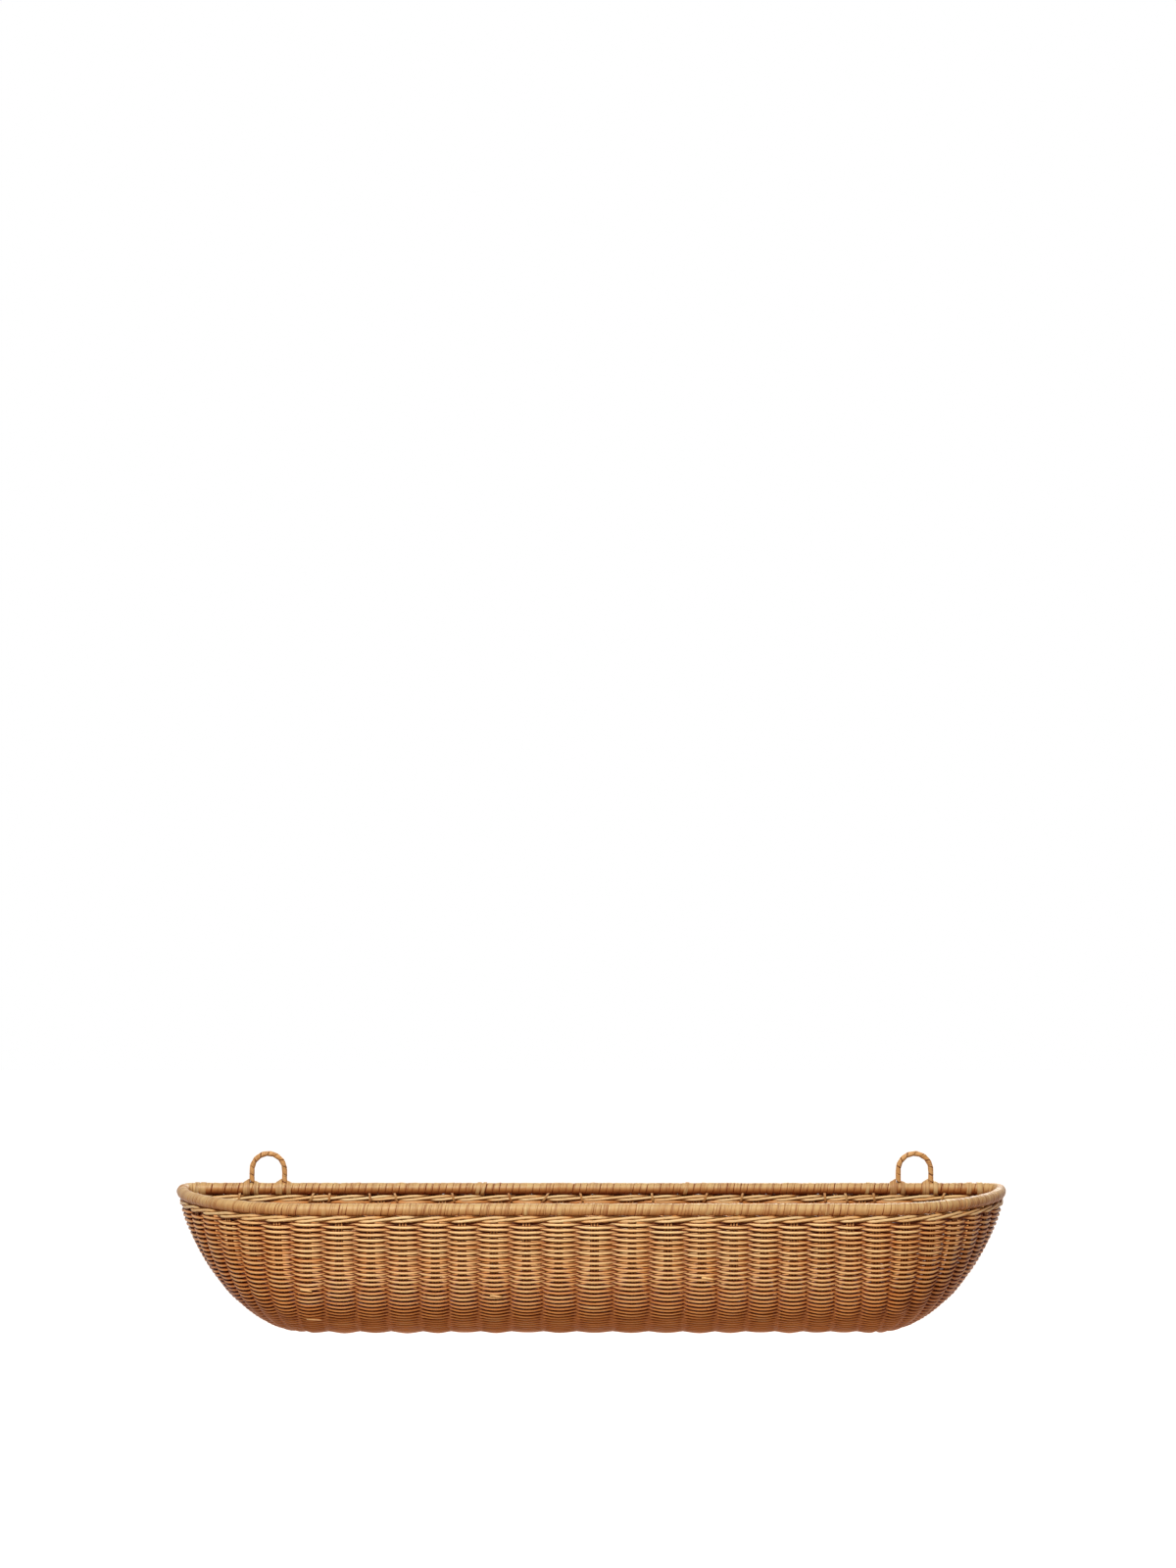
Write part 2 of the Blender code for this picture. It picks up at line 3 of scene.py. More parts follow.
import bmesh
import bpy
import numpy as np
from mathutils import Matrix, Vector


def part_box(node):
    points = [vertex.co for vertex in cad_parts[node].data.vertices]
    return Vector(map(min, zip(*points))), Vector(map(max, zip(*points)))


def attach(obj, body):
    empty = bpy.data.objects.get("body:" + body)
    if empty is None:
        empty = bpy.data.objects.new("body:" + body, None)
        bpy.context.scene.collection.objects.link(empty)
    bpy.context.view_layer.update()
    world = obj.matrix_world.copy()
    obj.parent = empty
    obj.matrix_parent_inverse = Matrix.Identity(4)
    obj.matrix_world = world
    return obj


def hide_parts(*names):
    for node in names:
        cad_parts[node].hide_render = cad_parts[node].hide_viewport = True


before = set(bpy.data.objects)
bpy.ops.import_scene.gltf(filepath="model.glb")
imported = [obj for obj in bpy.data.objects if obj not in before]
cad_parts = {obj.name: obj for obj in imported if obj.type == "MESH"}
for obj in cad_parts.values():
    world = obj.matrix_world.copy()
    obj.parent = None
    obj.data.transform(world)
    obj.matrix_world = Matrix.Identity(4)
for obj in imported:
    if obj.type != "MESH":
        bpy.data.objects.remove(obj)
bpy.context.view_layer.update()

scene = bpy.context.scene

# Studio
# A pale floor well below the hanging basket, soft lamps from the upper left and above,
# and a level camera across the room, on the height that the photograph looks in from.
RAIL_LOW, RAIL_HIGH = (Vector(corner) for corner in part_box("back_rim_core"))
RIM_Z = (RAIL_LOW.z + RAIL_HIGH.z) / 2
CAMERA_DISTANCE = 3.602      # from the wall
CAMERA_RISE = 0.417          # above the rim
CAMERA_SIDE = -0.0035        # beside the basket's middle
FOCAL_PIXELS = 3560
PHOTO_HEIGHT = 1600
SENSOR = 36.0
FLOOR_DROP = 0.62            # below the rim
FLOOR_HALF = 9.0
FLOOR_WHITE = 0.97           # how bright the floor looks in the picture
ROOM_GLOW = (1.0, 0.52, 0.27, 1)    # light that a warm room throws back on the basket
ROOM_STRENGTH = 0.13
WHITE = (1, 1, 1, 1)

camera_data = bpy.data.cameras.new("studio_camera")
camera_data.sensor_width = SENSOR
camera_data.lens = FOCAL_PIXELS * SENSOR / PHOTO_HEIGHT
camera_data.clip_start = 0.05
camera_data.clip_end = 60.0
camera = bpy.data.objects.new("studio_camera", camera_data)
camera.location = (CAMERA_SIDE, -CAMERA_DISTANCE, RIM_Z + CAMERA_RISE)
camera.rotation_euler = (math.radians(90), 0, 0)
scene.collection.objects.link(camera)
scene.camera = camera


def soft_lamp(name, place, size, watts, colour, aim=(0, -0.1, -0.1)):
    """A rectangular lamp that looks at the basket."""
    lamp_data = bpy.data.lights.new(name, "AREA")
    lamp_data.shape = "RECTANGLE"
    lamp_data.size, lamp_data.size_y = size
    lamp_data.energy = watts
    lamp_data.color = colour
    lamp = bpy.data.objects.new(name, lamp_data)
    lamp.location = place
    lamp.rotation_euler = (Vector(aim) - Vector(place)).to_track_quat("-Z", "Y").to_euler()
    scene.collection.objects.link(lamp)


soft_lamp("key_lamp", (-0.8, -3.0, 2.15), (0.7, 0.5), 133, (1.0, 0.985, 0.96))
soft_lamp("top_lamp", (0.2, -1.2, 2.4), (2.2, 1.0), 16, (1.0, 0.99, 0.975))
soft_lamp("fill_lamp", (2.4, -2.6, 1.0), (1.6, 1.6), 9, (1.0, 0.86, 0.70))
soft_lamp("back_lamp", (0.8, 2.6, 1.5), (1.6, 1.2), 45, (1.0, 0.99, 0.975))

scene.view_settings.view_transform = "Standard"


def add_node(tree, kind, inputs, **settings):
    """A shader node with its settings, and its inputs set or linked to outputs."""
    node = tree.nodes.new("ShaderNode" + kind)
    for name, value in settings.items():
        setattr(node, name, value)
    for socket, value in inputs.items():
        if isinstance(value, bpy.types.NodeSocket):
            tree.links.new(value, node.inputs[socket])
        else:
            node.inputs[socket].default_value = value
    return node


def new_finish(name):
    """A material with its node tree and its Principled shader."""
    finish = bpy.data.materials.new(name)
    finish.use_nodes = True
    return finish, finish.node_tree, finish.node_tree.nodes["Principled BSDF"]


def seen_ray(tree):
    """1 for the rays that show the background itself: camera, glossy and transmission."""
    light_path = add_node(tree, "LightPath", {})
    seen = light_path.outputs["Is Camera Ray"]
    for kind in ("Is Glossy Ray", "Is Transmission Ray"):
        either = add_node(tree, "Math", {0: seen, 1: light_path.outputs[kind]},
                          operation="MAXIMUM")
        seen = either.outputs[0]
    return seen


world = bpy.data.worlds.new("studio_air")
world.use_nodes = True
scene.world = world
air = world.node_tree
air.nodes.clear()
room_air = add_node(air, "Background", {"Color": ROOM_GLOW, "Strength": ROOM_STRENGTH})
white_air = add_node(air, "Background", {"Color": WHITE, "Strength": 1.0})
air_mix = add_node(air, "MixShader", {"Fac": seen_ray(air), 1: room_air.outputs[0],
                                      2: white_air.outputs[0]})
add_node(air, "OutputWorld", {"Surface": air_mix.outputs[0]})

floor_bm = bmesh.new()
bmesh.ops.create_grid(floor_bm, x_segments=1, y_segments=1, size=FLOOR_HALF)
floor_mesh = bpy.data.meshes.new("studio_floor")
floor_bm.to_mesh(floor_mesh)
floor_bm.free()
for corner in floor_mesh.vertices:
    corner.co.z = RIM_Z - FLOOR_DROP
studio_floor = bpy.data.objects.new("studio_floor", floor_mesh)
scene.collection.objects.link(studio_floor)
floor_finish, floor_tree, floor_shader = new_finish("pale_floor")
floor_shader.inputs["Base Color"].default_value = (0.42, 0.28, 0.18, 1)
floor_shader.inputs["Roughness"].default_value = 0.9
floor_shader.inputs["Emission Color"].default_value = WHITE
floor_lift = add_node(floor_tree, "Math", {0: seen_ray(floor_tree), 1: FLOOR_WHITE},
                      operation="MULTIPLY")
floor_tree.links.new(floor_lift.outputs[0], floor_shader.inputs["Emission Strength"])
floor_mesh.materials.append(floor_finish)


# Stakes
# The upright ribs: groups of three round rattan rods, side by side. Nineteen groups run up
# the back, under the base and up the front; the rest fan out round the ends, where they
# thin towards the base, or stand in the outer parts of the back. The weave holds them.
RAIL_Y = (RAIL_LOW.y + RAIL_HIGH.y) / 2
STAKE_ROD = 0.0029           # across
RODS_PER_STAKE = 3
ROD_FILL = 0.97              # share of its width that a rod fills
FAN_FILL = 0.55              # share of its pitch that a stake takes up round the ends
EDGE_FILL = 1.6              # and share of its room, for the one next to the wall
RIM_RADIUS = 0.0060
WALL_DROP = 0.1322           # from the rim's middle down to the base
BASE_BEND = 0.005            # radius in which the back's stakes turn under the base
RIM_HALF_LENGTH = 0.419
RIM_REACH = 0.184            # from the wall out to the middle of the front rim
RIM_CORNER = 0.012
RIM_END_FULLNESS = 1.8       # of the rim's plan at both ends, where 2 is an ellipse
BASE_REACH = 0.080
BASE_END_LENGTH = 0.028
FRONT_FULLNESS = 2.3         # of the wall from rim to base, mid front
END_FULLNESS = 1.52          # and at the back of the ends
FAN_PITCHES = 8
EDGE_INSET = 0.006
SEAT_GAP = 0.0003            # between pieces that touch
STAKE_TOP_Z = RIM_Z - RIM_RADIUS - SEAT_GAP
WALE_HEIGHT = 0.0070
WEAVE_TOP_Z = STAKE_TOP_Z - WALE_HEIGHT
BASE_Z = RIM_Z - WALL_DROP
END_START = -RAIL_Y + 0.00465    # from the wall to where the round of an end begins
RIGHT, TO_WALL, UP = np.eye(3)

chance = np.random.default_rng(41)


def middle_x(node):
    """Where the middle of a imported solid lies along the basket."""
    low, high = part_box(node)
    return (low[0] + high[0]) / 2


def nodes_from(start):
    """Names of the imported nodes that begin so, in order."""
    return sorted(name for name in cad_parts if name.startswith(start))


crossing_names = nodes_from("cross_stake")
crossing_x = np.array([middle_x(name) for name in crossing_names])
STRAIGHT_HALF = crossing_x[-1]


def superellipse(angle, fullness):
    """Shares of the two half axes at an angle; a fullness of 2 is an ellipse."""
    return np.abs(np.cos(angle)) ** (2 / fullness), np.abs(np.sin(angle)) ** (2 / fullness)


def end_curve(length, reach):
    """One end's outline from the wall round to the straight part, with its run of lengths."""
    along, out = superellipse(np.linspace(0, math.pi / 2, 160), RIM_END_FULLNESS)
    corner = RIM_RADIUS + RIM_CORNER
    xs = np.append(STRAIGHT_HALF + length, STRAIGHT_HALF + length * along)
    ys = np.append(-END_START, -(corner + (reach - corner) * out))
    run = np.append(0, np.cumsum(np.hypot(np.diff(xs), np.diff(ys))))
    return xs, ys, run


RIM_CURVE = end_curve(RIM_HALF_LENGTH - STRAIGHT_HALF, RIM_REACH)
BASE_CURVE = end_curve(BASE_END_LENGTH, BASE_REACH)


def outline(place, curve, reach):
    """Plan of a ring: place is 0 mid front, 1 at the end of the straight part, 2 at the wall."""
    xs, ys, run = curve
    amount = np.abs(place)
    turned = np.clip(amount - 1, 0, 1)
    wanted = (1 - turned) * run[-1]
    x = np.where(amount <= 1, STRAIGHT_HALF * amount, np.interp(wanted, run, xs))
    y = np.where(amount <= 1, -reach, np.interp(wanted, run, ys))
    return np.sign(place) * x, y


def fullness_at(place):
    """How full the wall's section is at a place round the outline."""
    turned = np.clip(np.abs(place) - 1, 0, 1)
    return FRONT_FULLNESS + (END_FULLNESS - FRONT_FULLNESS) * np.sin(math.pi / 2 * turned) ** 2


def wall(place, angle):
    """Middle of the wall: angle 0 is level with the rim and a right angle is the base."""
    rim_x, rim_y = outline(place, RIM_CURVE, RIM_REACH)
    base_x, base_y = outline(place, BASE_CURVE, BASE_REACH)
    inward, down = superellipse(angle, fullness_at(place))
    x = base_x + (rim_x - base_x) * inward
    y = base_y + (rim_y - base_y) * inward
    return points_at(x, y, RIM_Z - WALL_DROP * down)


def unit(vectors):
    """The same directions, one long."""
    return vectors / np.maximum(np.linalg.norm(vectors, axis=-1, keepdims=True), 1e-12)


def points_at(*axes):
    """Points from their coordinates, each one number for all or one for every point."""
    return np.stack(np.broadcast_arrays(*axes), -1)


def run_along(points):
    """How far each point of a line lies from its first one, along the line."""
    return np.append(0, np.cumsum(np.linalg.norm(np.diff(points, axis=0), axis=1)))


def wall_frame(place, angle):
    """Point, outward direction and along-the-wall direction at each place and angle."""
    step = 0.004
    held = np.clip(angle, step, math.pi / 2 - step)
    down = unit(wall(place, held + step) - wall(place, held - step))
    along = unit(wall(np.minimum(place + step, 2), held)
                 - wall(np.maximum(place - step, -2), held))
    return wall(place, angle), unit(np.cross(down, along)), along


def start_angle(place, z):
    """Angle at which the wall is at a height."""
    share = (RIM_Z - z) / WALL_DROP
    return np.arcsin(share ** (fullness_at(place) / 2))


fan_places = 1 + np.arange(1, FAN_PITCHES) / FAN_PITCHES
edge_place = 2 - EDGE_INSET / RIM_CURVE[2][-1]
right_places = np.append(fan_places, edge_place)


def rattan_group():
    """Shader group for a rattan strand: long fibres, slow blotches and pores, with painted shade
    where the strand dives between others and a painted highlight where it stands out. It reads
    the strand laid out straight."""
    group = bpy.data.node_groups.new("rattan_strand", "ShaderNodeTree")
    vector, number, colour = "NodeSocketVector", "NodeSocketFloat", "NodeSocketColor"
    for name, kind in (("Straight", vector), ("Tone", number), ("Lift", number),
                       ("Pale", colour), ("Warm", colour), ("Stain_and_shade", colour),
                       ("Fibre", number), ("Grain", number)):
        group.interface.new_socket(name, in_out="INPUT", socket_type=kind)
    for name, kind in (("Colour", colour), ("Roughness", number), ("Height", number)):
        group.interface.new_socket(name, in_out="OUTPUT", socket_type=kind)
    links = group.links
    given = group.nodes.new("NodeGroupInput")
    result = group.nodes.new("NodeGroupOutput")
    grain = add_node(group, "VectorMath", {0: given.outputs["Straight"],
                                           "Scale": given.outputs["Grain"]}, operation="SCALE")

    def noise(stretch, detail, shift=0.0):
        moved = add_node(group, "VectorMath", {0: grain.outputs[0], 1: stretch,
                                               2: (shift, shift * 2, shift * 3)},
                         operation="MULTIPLY_ADD")
        pattern = add_node(group, "TexNoise", {"Vector": moved.outputs[0], "Scale": 1.0,
                                               "Detail": detail, "Roughness": 0.6})
        return pattern.outputs["Fac"]

    def remap(value, low, high, to_low=0.0, to_high=1.0):
        bounds = {"From Min": low, "From Max": high, "To Min": to_low, "To Max": to_high}
        return add_node(group, "MapRange", {"Value": value, **bounds}).outputs["Result"]

    def combine(kind, first, second):
        return add_node(group, "Math", {0: first, 1: second}, operation=kind).outputs[0]

    def blend_colours(amount, first, second):
        # The colour sockets of a mix are 6 and 7, and its output 2.
        return add_node(group, "Mix", {"Factor": amount, 6: first, 7: second},
                        data_type="RGBA").outputs[2]

    fibre = noise((1500.0, 1500.0, 70.0), 3.0)
    blotch = noise((130.0, 130.0, 22.0), 2.0, 5.0)
    pores = noise((1300.0, 1300.0, 260.0), 1.0, 11.0)
    tone = combine("ADD", given.outputs["Tone"], remap(blotch, 0.3, 0.7, -0.2, 0.2))
    # Painted highlight: where the strand stands out from its neighbours it goes paler.
    painted_crest_light = remap(given.outputs["Lift"], 0.10, 0.90, 0.45, -0.12)
    tone = combine("ADD", tone, painted_crest_light)
    body = blend_colours(remap(tone, 0.0, 1.0), given.outputs["Pale"], given.outputs["Warm"])
    streaks = combine("MULTIPLY", remap(fibre, 0.50, 0.72), given.outputs["Fibre"])
    specks = combine("MULTIPLY", remap(pores, 0.66, 0.76), 0.55)
    # Painted shade: where the strand lies low between others, and along the sides that press on
    # them, it goes towards the darkest colour.
    painted_hollow_shade = remap(given.outputs["Lift"], 0.32, -0.50, 0.0, 0.95)
    # Tone beyond the warm colour, which the painted shade of low rows and undersides reaches, goes
    # on towards the darkest colour.
    past_warm = remap(tone, 1.0, 1.6, 0.0, 0.4)
    marked = combine("MAXIMUM", streaks, specks)
    # Real fibre streaks and pores, the painted shade and the deepest tones all take the colour
    # towards the darkest one.
    dark = combine("MAXIMUM", marked, combine("MAXIMUM", painted_hollow_shade, past_warm))
    height = combine("SUBTRACT", fibre, combine("MULTIPLY", specks, 0.6))
    links.new(blend_colours(dark, body, given.outputs["Stain_and_shade"]), result.inputs["Colour"])
    links.new(remap(fibre, 0.3, 0.7, 0.34, 0.54), result.inputs["Roughness"])
    links.new(height, result.inputs["Height"])
    return group


rattan_strand = rattan_group()


# The darkest colour carries the real streaks and pores, and also the painted shade.
def rattan_finish(name, pale, warm, stain_and_shade, fibre, bump, grain=1.0):
    """A rattan material: its strand pattern drives colour, roughness and bump. Fibre is how
    dark its streaks are, bump how deep they are and grain how fine they are."""
    finish, tree, shader = new_finish(name)
    shader.inputs["Specular IOR Level"].default_value = 0.22
    given = {"Pale": (*pale, 1), "Warm": (*warm, 1), "Stain_and_shade": (*stain_and_shade, 1), "Fibre": fibre,
             "Grain": grain}
    pattern = add_node(tree, "Group", given, node_tree=rattan_strand)
    for attribute, socket, output in (("straight", "Straight", "Vector"),
                                      ("tone", "Tone", "Fac"), ("lift", "Lift", "Fac")):
        reader = add_node(tree, "Attribute", {}, attribute_name=attribute)
        tree.links.new(reader.outputs[output], pattern.inputs[socket])
    relief = add_node(tree, "Bump", {"Strength": 0.5, "Distance": bump,
                                     "Height": pattern.outputs["Height"]})
    tree.links.new(pattern.outputs["Colour"], shader.inputs["Base Color"])
    tree.links.new(pattern.outputs["Roughness"], shader.inputs["Roughness"])
    tree.links.new(relief.outputs["Normal"], shader.inputs["Normal"])
    return finish


def set_facts(mesh, straight, tone, lift):
    """What the rattan finish reads at each point: its place on the strand laid out straight,
    how warm it is, and how far it stands out from its neighbours, which sets its painted
    highlight and painted shade."""
    for name, kind, field, values in (("straight", "FLOAT_VECTOR", "vector", straight),
                                      ("tone", "FLOAT", "value", tone),
                                      ("lift", "FLOAT", "value", lift)):
        store = mesh.attributes.new(name, kind, "POINT")
        store.data.foreach_set(field, np.asarray(values, np.float32).ravel())


CREASE_SHADE = 1.15                # how much painted shade falls along the sides that touch a neighbour


def close_ends(mesh):
    """Fill the open rims of a mesh."""
    open_mesh = bmesh.new()
    open_mesh.from_mesh(mesh)
    rims = [edge for edge in open_mesh.edges if edge.is_boundary]
    bmesh.ops.holes_fill(open_mesh, edges=rims, sides=0)
    open_mesh.to_mesh(mesh)
    open_mesh.free()


def mesh_of(maker):
    """The mesh that a curve or a modified object makes; the object itself goes."""
    scene.collection.objects.link(maker)
    seen = maker.evaluated_get(bpy.context.evaluated_depsgraph_get())
    mesh = bpy.data.meshes.new_from_object(seen)
    bpy.data.objects.remove(maker)
    return mesh


def mesh_points(mesh):
    """The places of a mesh's vertices."""
    flat = np.empty(len(mesh.vertices) * 3)
    mesh.vertices.foreach_get("co", flat)
    return flat.reshape(-1, 3)


def finished(name, mesh, finish):
    """The visible piece of a mesh, smooth and in its finish."""
    mesh.shade_smooth()
    mesh.materials.clear()
    mesh.materials.append(finish)
    piece = bpy.data.objects.new(name, mesh)
    scene.collection.objects.link(piece)
    return piece


def strands(name, runs, finish, rounding=2, bulges=None):
    """Round strands in one piece. A run is (points, radii, tone, lift, beside) along one
    strand, where beside points at the strands that press on it, and painted shade falls there.
    Bulges are the ways out of the wall: with them, painted shade falls where a strand lies under
    another, seen from its own side, and a painted highlight where it faces out."""
    guide_data = bpy.data.curves.new(name, "CURVE")
    guide_data.dimensions = "3D"
    guide_data.bevel_depth = 1.0
    guide_data.bevel_resolution = rounding
    sides = 4 + 2 * rounding
    turns = np.linspace(0, math.tau, sides, endpoint=False)
    around = points_at(np.cos(turns), np.sin(turns))
    straight, tones, lifts, creases = [], [], [], []
    for points, radii, tone, lift, beside in runs:
        count = len(points)
        radii = np.broadcast_to(radii, count)
        creases.append((points, radii, np.broadcast_to(beside, points.shape)))
        spline = guide_data.splines.new("POLY")
        spline.points.add(count - 1)
        spline.points.foreach_set("co", np.column_stack([points, np.ones(count)]).ravel())
        spline.points.foreach_set("radius", np.ascontiguousarray(radii, float))
        spline.use_smooth = True
        length = run_along(points) + chance.uniform(0, 50)
        length = np.broadcast_to(length[:, None, None], (count, sides, 1))
        section = radii[:, None, None] * around
        straight.append(np.concatenate([section, length], -1).reshape(-1, 3))
        tones.append(np.repeat(np.broadcast_to(tone, count), sides))
        lifts.append(np.repeat(np.broadcast_to(lift, count), sides))
    mesh = mesh_of(bpy.data.objects.new(name + "_guide", guide_data))
    mesh.name = name
    centres, thickness, beside = (np.concatenate(parts) for parts in zip(*creases))
    from_middle = mesh_points(mesh).reshape(-1, sides, 3) - centres[:, None]
    facing = (from_middle * beside[:, None]).sum(-1) / thickness[:, None]
    facing = np.abs(np.clip(facing.ravel(), -1, 1))
    lifts = np.concatenate(lifts)
    if bulges:
        across = np.concatenate(bulges)[:, None]
        height = (from_middle * across).sum(-1) / thickness[:, None]
        lifts = (lifts + height.ravel()) * np.clip(height.ravel() * 6, -1, 1)
    # Painted shade along the sides that press on a neighbour, deeper where the strand lies low.
    lifts = lifts - CREASE_SHADE * (facing ** 2.3 + (1 - np.clip(lifts, 0, 1)) * facing ** 1.5)
    set_facts(mesh, np.concatenate(straight), np.concatenate(tones), lifts)
    close_ends(mesh)
    return finished(name, mesh, finish)


def settle(piece, slot, *nodes):
    """Ride the basket's one body and stand for CAD nodes, which are hidden. The slot is not used.
    """
    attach(piece, "root")
    if nodes:
        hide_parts(*nodes)


stake_finish = rattan_finish("stake_rattan", (0.76, 0.42, 0.16), (0.58, 0.26, 0.075),
                             (0.10, 0.016, 0.003), 0.5, 0.00015)


def three_rods(node, middle, across, width):
    """The rods of a stake's node, side by side along a middle line within a width."""
    runs = []
    shade = np.where(middle[:, 2] > WEAVE_TOP_Z, 0.6, 0.45)
    width = np.broadcast_to(width, len(middle))
    radius = np.minimum(width / RODS_PER_STAKE, STAKE_ROD) / 2
    for k in range(RODS_PER_STAKE):
        offset = (k - (RODS_PER_STAKE - 1) / 2) * (width - 2 * radius) / (RODS_PER_STAKE - 1)
        slack = 1 + chance.uniform(-0.05, 0.03)
        runs.append((middle + across * offset[:, None], radius * slack * ROD_FILL,
                     chance.uniform(0.0, 0.6), shade, across))
    piece = strands(node.replace("stake", "rods"), runs, stake_finish)
    settle(piece, "rattan_core", node)


def front_line(place):
    """Middle line of a stake from rim to base, with its across directions and its angles."""
    angles = np.linspace(start_angle(place, STAKE_TOP_Z), math.pi / 2, 22)
    points, outward, _ = wall_frame(place, angles)
    down = unit(np.gradient(points, axis=0))
    return points, unit(np.cross(outward, down)), angles


for node, x in zip(crossing_names, crossing_x):
    bend = np.linspace(0, math.pi / 2, 6)
    bent = points_at(x, RAIL_Y - BASE_BEND + BASE_BEND * np.cos(bend),
                     BASE_Z + BASE_BEND - BASE_BEND * np.sin(bend))
    front, _, _ = front_line(x / STRAIGHT_HALF)
    under = np.linspace(bent[-1], front[-1], 6)[1:-1]
    line = np.concatenate([[[x, RAIL_Y, STAKE_TOP_Z]], bent, under, front[::-1]])
    three_rods(node, line, RIGHT, RODS_PER_STAKE * STAKE_ROD)

for side, sign in (("left", -1), ("right", 1)):
    for k, place in enumerate(right_places):
        line, across, angles = front_line(sign * place)
        inward, _ = superellipse(angles, fullness_at(place))
        arc = BASE_CURVE[2][-1] + (RIM_CURVE[2][-1] - BASE_CURVE[2][-1]) * inward
        width = np.minimum(RODS_PER_STAKE * STAKE_ROD, FAN_FILL * arc / FAN_PITCHES)
        last = k == len(right_places) - 1
        if last:
            width = np.minimum(width, EDGE_FILL * (2 - place) * arc)
        node = f"{side}_edge_stake" if last else f"{side}_fan_stake_{k + 1}"
        three_rods(node, line, across, width)
    for node in nodes_from(f"{side}_back_stake"):
        low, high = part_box(node)
        line = points_at(middle_x(node), RAIL_Y, np.linspace(high[2], low[2], 4))
        three_rods(node, line, RIGHT, high[0] - low[0])


# Weave of the front and the ends
# Plain twining in round reed: each row passes outside one stake group and inside the next,
# and the row below does the opposite. Rows are beaten down tight, so that they bulge over
# the stakes and draw in between them.
ROW_PITCH = 0.00252
REED_RADIUS = 0.00146
REED_PINCH = 1.08            # share of its radius that a strand has where two rows cross
REED_DIVE = 0.0008           # how much higher a strand comes out from behind than it goes in
REED_SAG = 0.00025           # how far the middle of an outside pass hangs down
REED_PLUMP = 0.18            # how much fuller than its radius a strand looks over a stake
STRAY = 0.00015              # how far a strand strays from its row
GIRTH = 0.03                 # share by which its thickness changes along its length
LIFT = STAKE_ROD / 2 + REED_RADIUS    # from the stakes' middle out to that of the reed
FRONT_RELIEF = 0.95          # share of that by which the rows bulge over the stakes
BASE_RELIEF = 0.45
BACK_RELIEF = 0.65
CORNER_TURN = 0.007          # how far a row runs on along the back once it is round the end
CORNER_LIFT = 0.75           # how far out or in a row stays as it rounds the end
CORNER_STEPS = 6
STEPS_PER_STAKE = 8
PIECE_ROWS = 18              # rows in one piece, to keep each mesh small
# How the front's rows change from the wale, a share of 0, down to the base, a share of 1.
ROW_RELIEF = ((0.52, FRONT_RELIEF), (0.68, 0.50), (0.84, 0.50), (0.92, 0.62), (1.0, BASE_RELIEF))
# Painted light and shade: the top rows are paler and the rows towards the base darker and warmer,
# where the wall turns down away from the light.
ROW_PAINTED_SHADE = ((0.0, -0.26), (0.35, 0.13), (0.6, 0.78), (0.75, 1.0))
ROW_EASE = ((0.50, 0.62), (0.72, 1.3))
ROW_DROOP = ((0.05, 0), (0.35, 0.0008), (0.55, 0.0008), (0.72, 0))    # of an outside pass
ROW_UNEVEN = ((0.75, 0), (0.90, 1))     # how much some stakes bulge more than others
UNEVEN_BULGE = (0.45, 1.15)
END_PAINTED_SHADE = 0.4             # painted shade: how much darker and warmer the rows are at both ends
# Cut ends of reed: the row, and the stake counts from which and to which the end shows.
CUT_ENDS = ((26, 7.75, 8.125), (42, 7.875, 8.375), (29, 13.875, 14.25), (21, 20.0, 20.375))

weaver_finish = rattan_finish("weaver_reed", (0.85, 0.615, 0.295), (0.66, 0.278, 0.073),
                              (0.15, 0.022, 0.002), 0.35, 0.00018)


def eased(wave, ease):
    """A wave made squarer by an ease below 1 and more pointed by one above 1."""
    return np.sign(wave) * np.abs(wave) ** ease


def weaving(row, q, ease=0.62):
    """How far out a row is at a stake count q: 1 outside a stake, -1 inside it. The ease is
    below 1 where the strand dives sharply between two stakes and above 1 where it is slack."""
    return eased(np.cos(math.pi * (q + row)), ease)


def wander(count, spread, every=8):
    """A slow random drift along a strand."""
    knots = chance.normal(0, spread, count // every + 3)
    return np.interp(np.arange(count) / every, np.arange(len(knots)), knots)


def weave_rows(name, rows, node, swell=1.0):
    """Make strands from rows of (middle points, outward, down, lift, relief, painted shade), a
    few rows a piece. A relief below 1 is a row beaten flatter against the stakes; the painted
    shade makes a row darker and warmer, and a value below 0 makes it paler."""
    for first in range(0, len(rows), PIECE_ROWS):
        runs, bulges = [], []
        for points, outward, down, lift, relief, painted_shade in rows[first:first + PIECE_ROWS]:
            count = len(points)
            path = points + outward * (lift * LIFT * relief)[:, None]
            slackness = np.interp(relief, [BACK_RELIEF, FRONT_RELIEF], [0, 1])
            low_end = np.where(lift > 0, 1 - lift, np.clip(1 + 2.5 * lift, 0, 1))
            dive = REED_DIVE * slackness * (np.gradient(lift) > 0) * low_end
            sag = REED_SAG * slackness * np.clip(lift, 0, 1) ** 2
            path = path + down * (wander(count, STRAY) + sag - dive)[:, None]
            pinch = REED_PINCH + (1 + REED_PLUMP - REED_PINCH) * np.abs(lift)
            radii = REED_RADIUS * swell * pinch * (1 + wander(count, GIRTH))
            tone = 0.24 + painted_shade + chance.normal(0, 0.10) + wander(count, 0.10, 24)
            share = LIFT * relief / (LIFT * relief + REED_RADIUS)
            runs.append((path, radii, tone, lift * share, down * (0.6 + 0.4 * slackness)))
            bulges.append(outward * (1 - share))
        piece = strands(f"{name}_{first // PIECE_ROWS + 1}", runs, weaver_finish, bulges=bulges)
        settle(piece, "woven_reed", node)


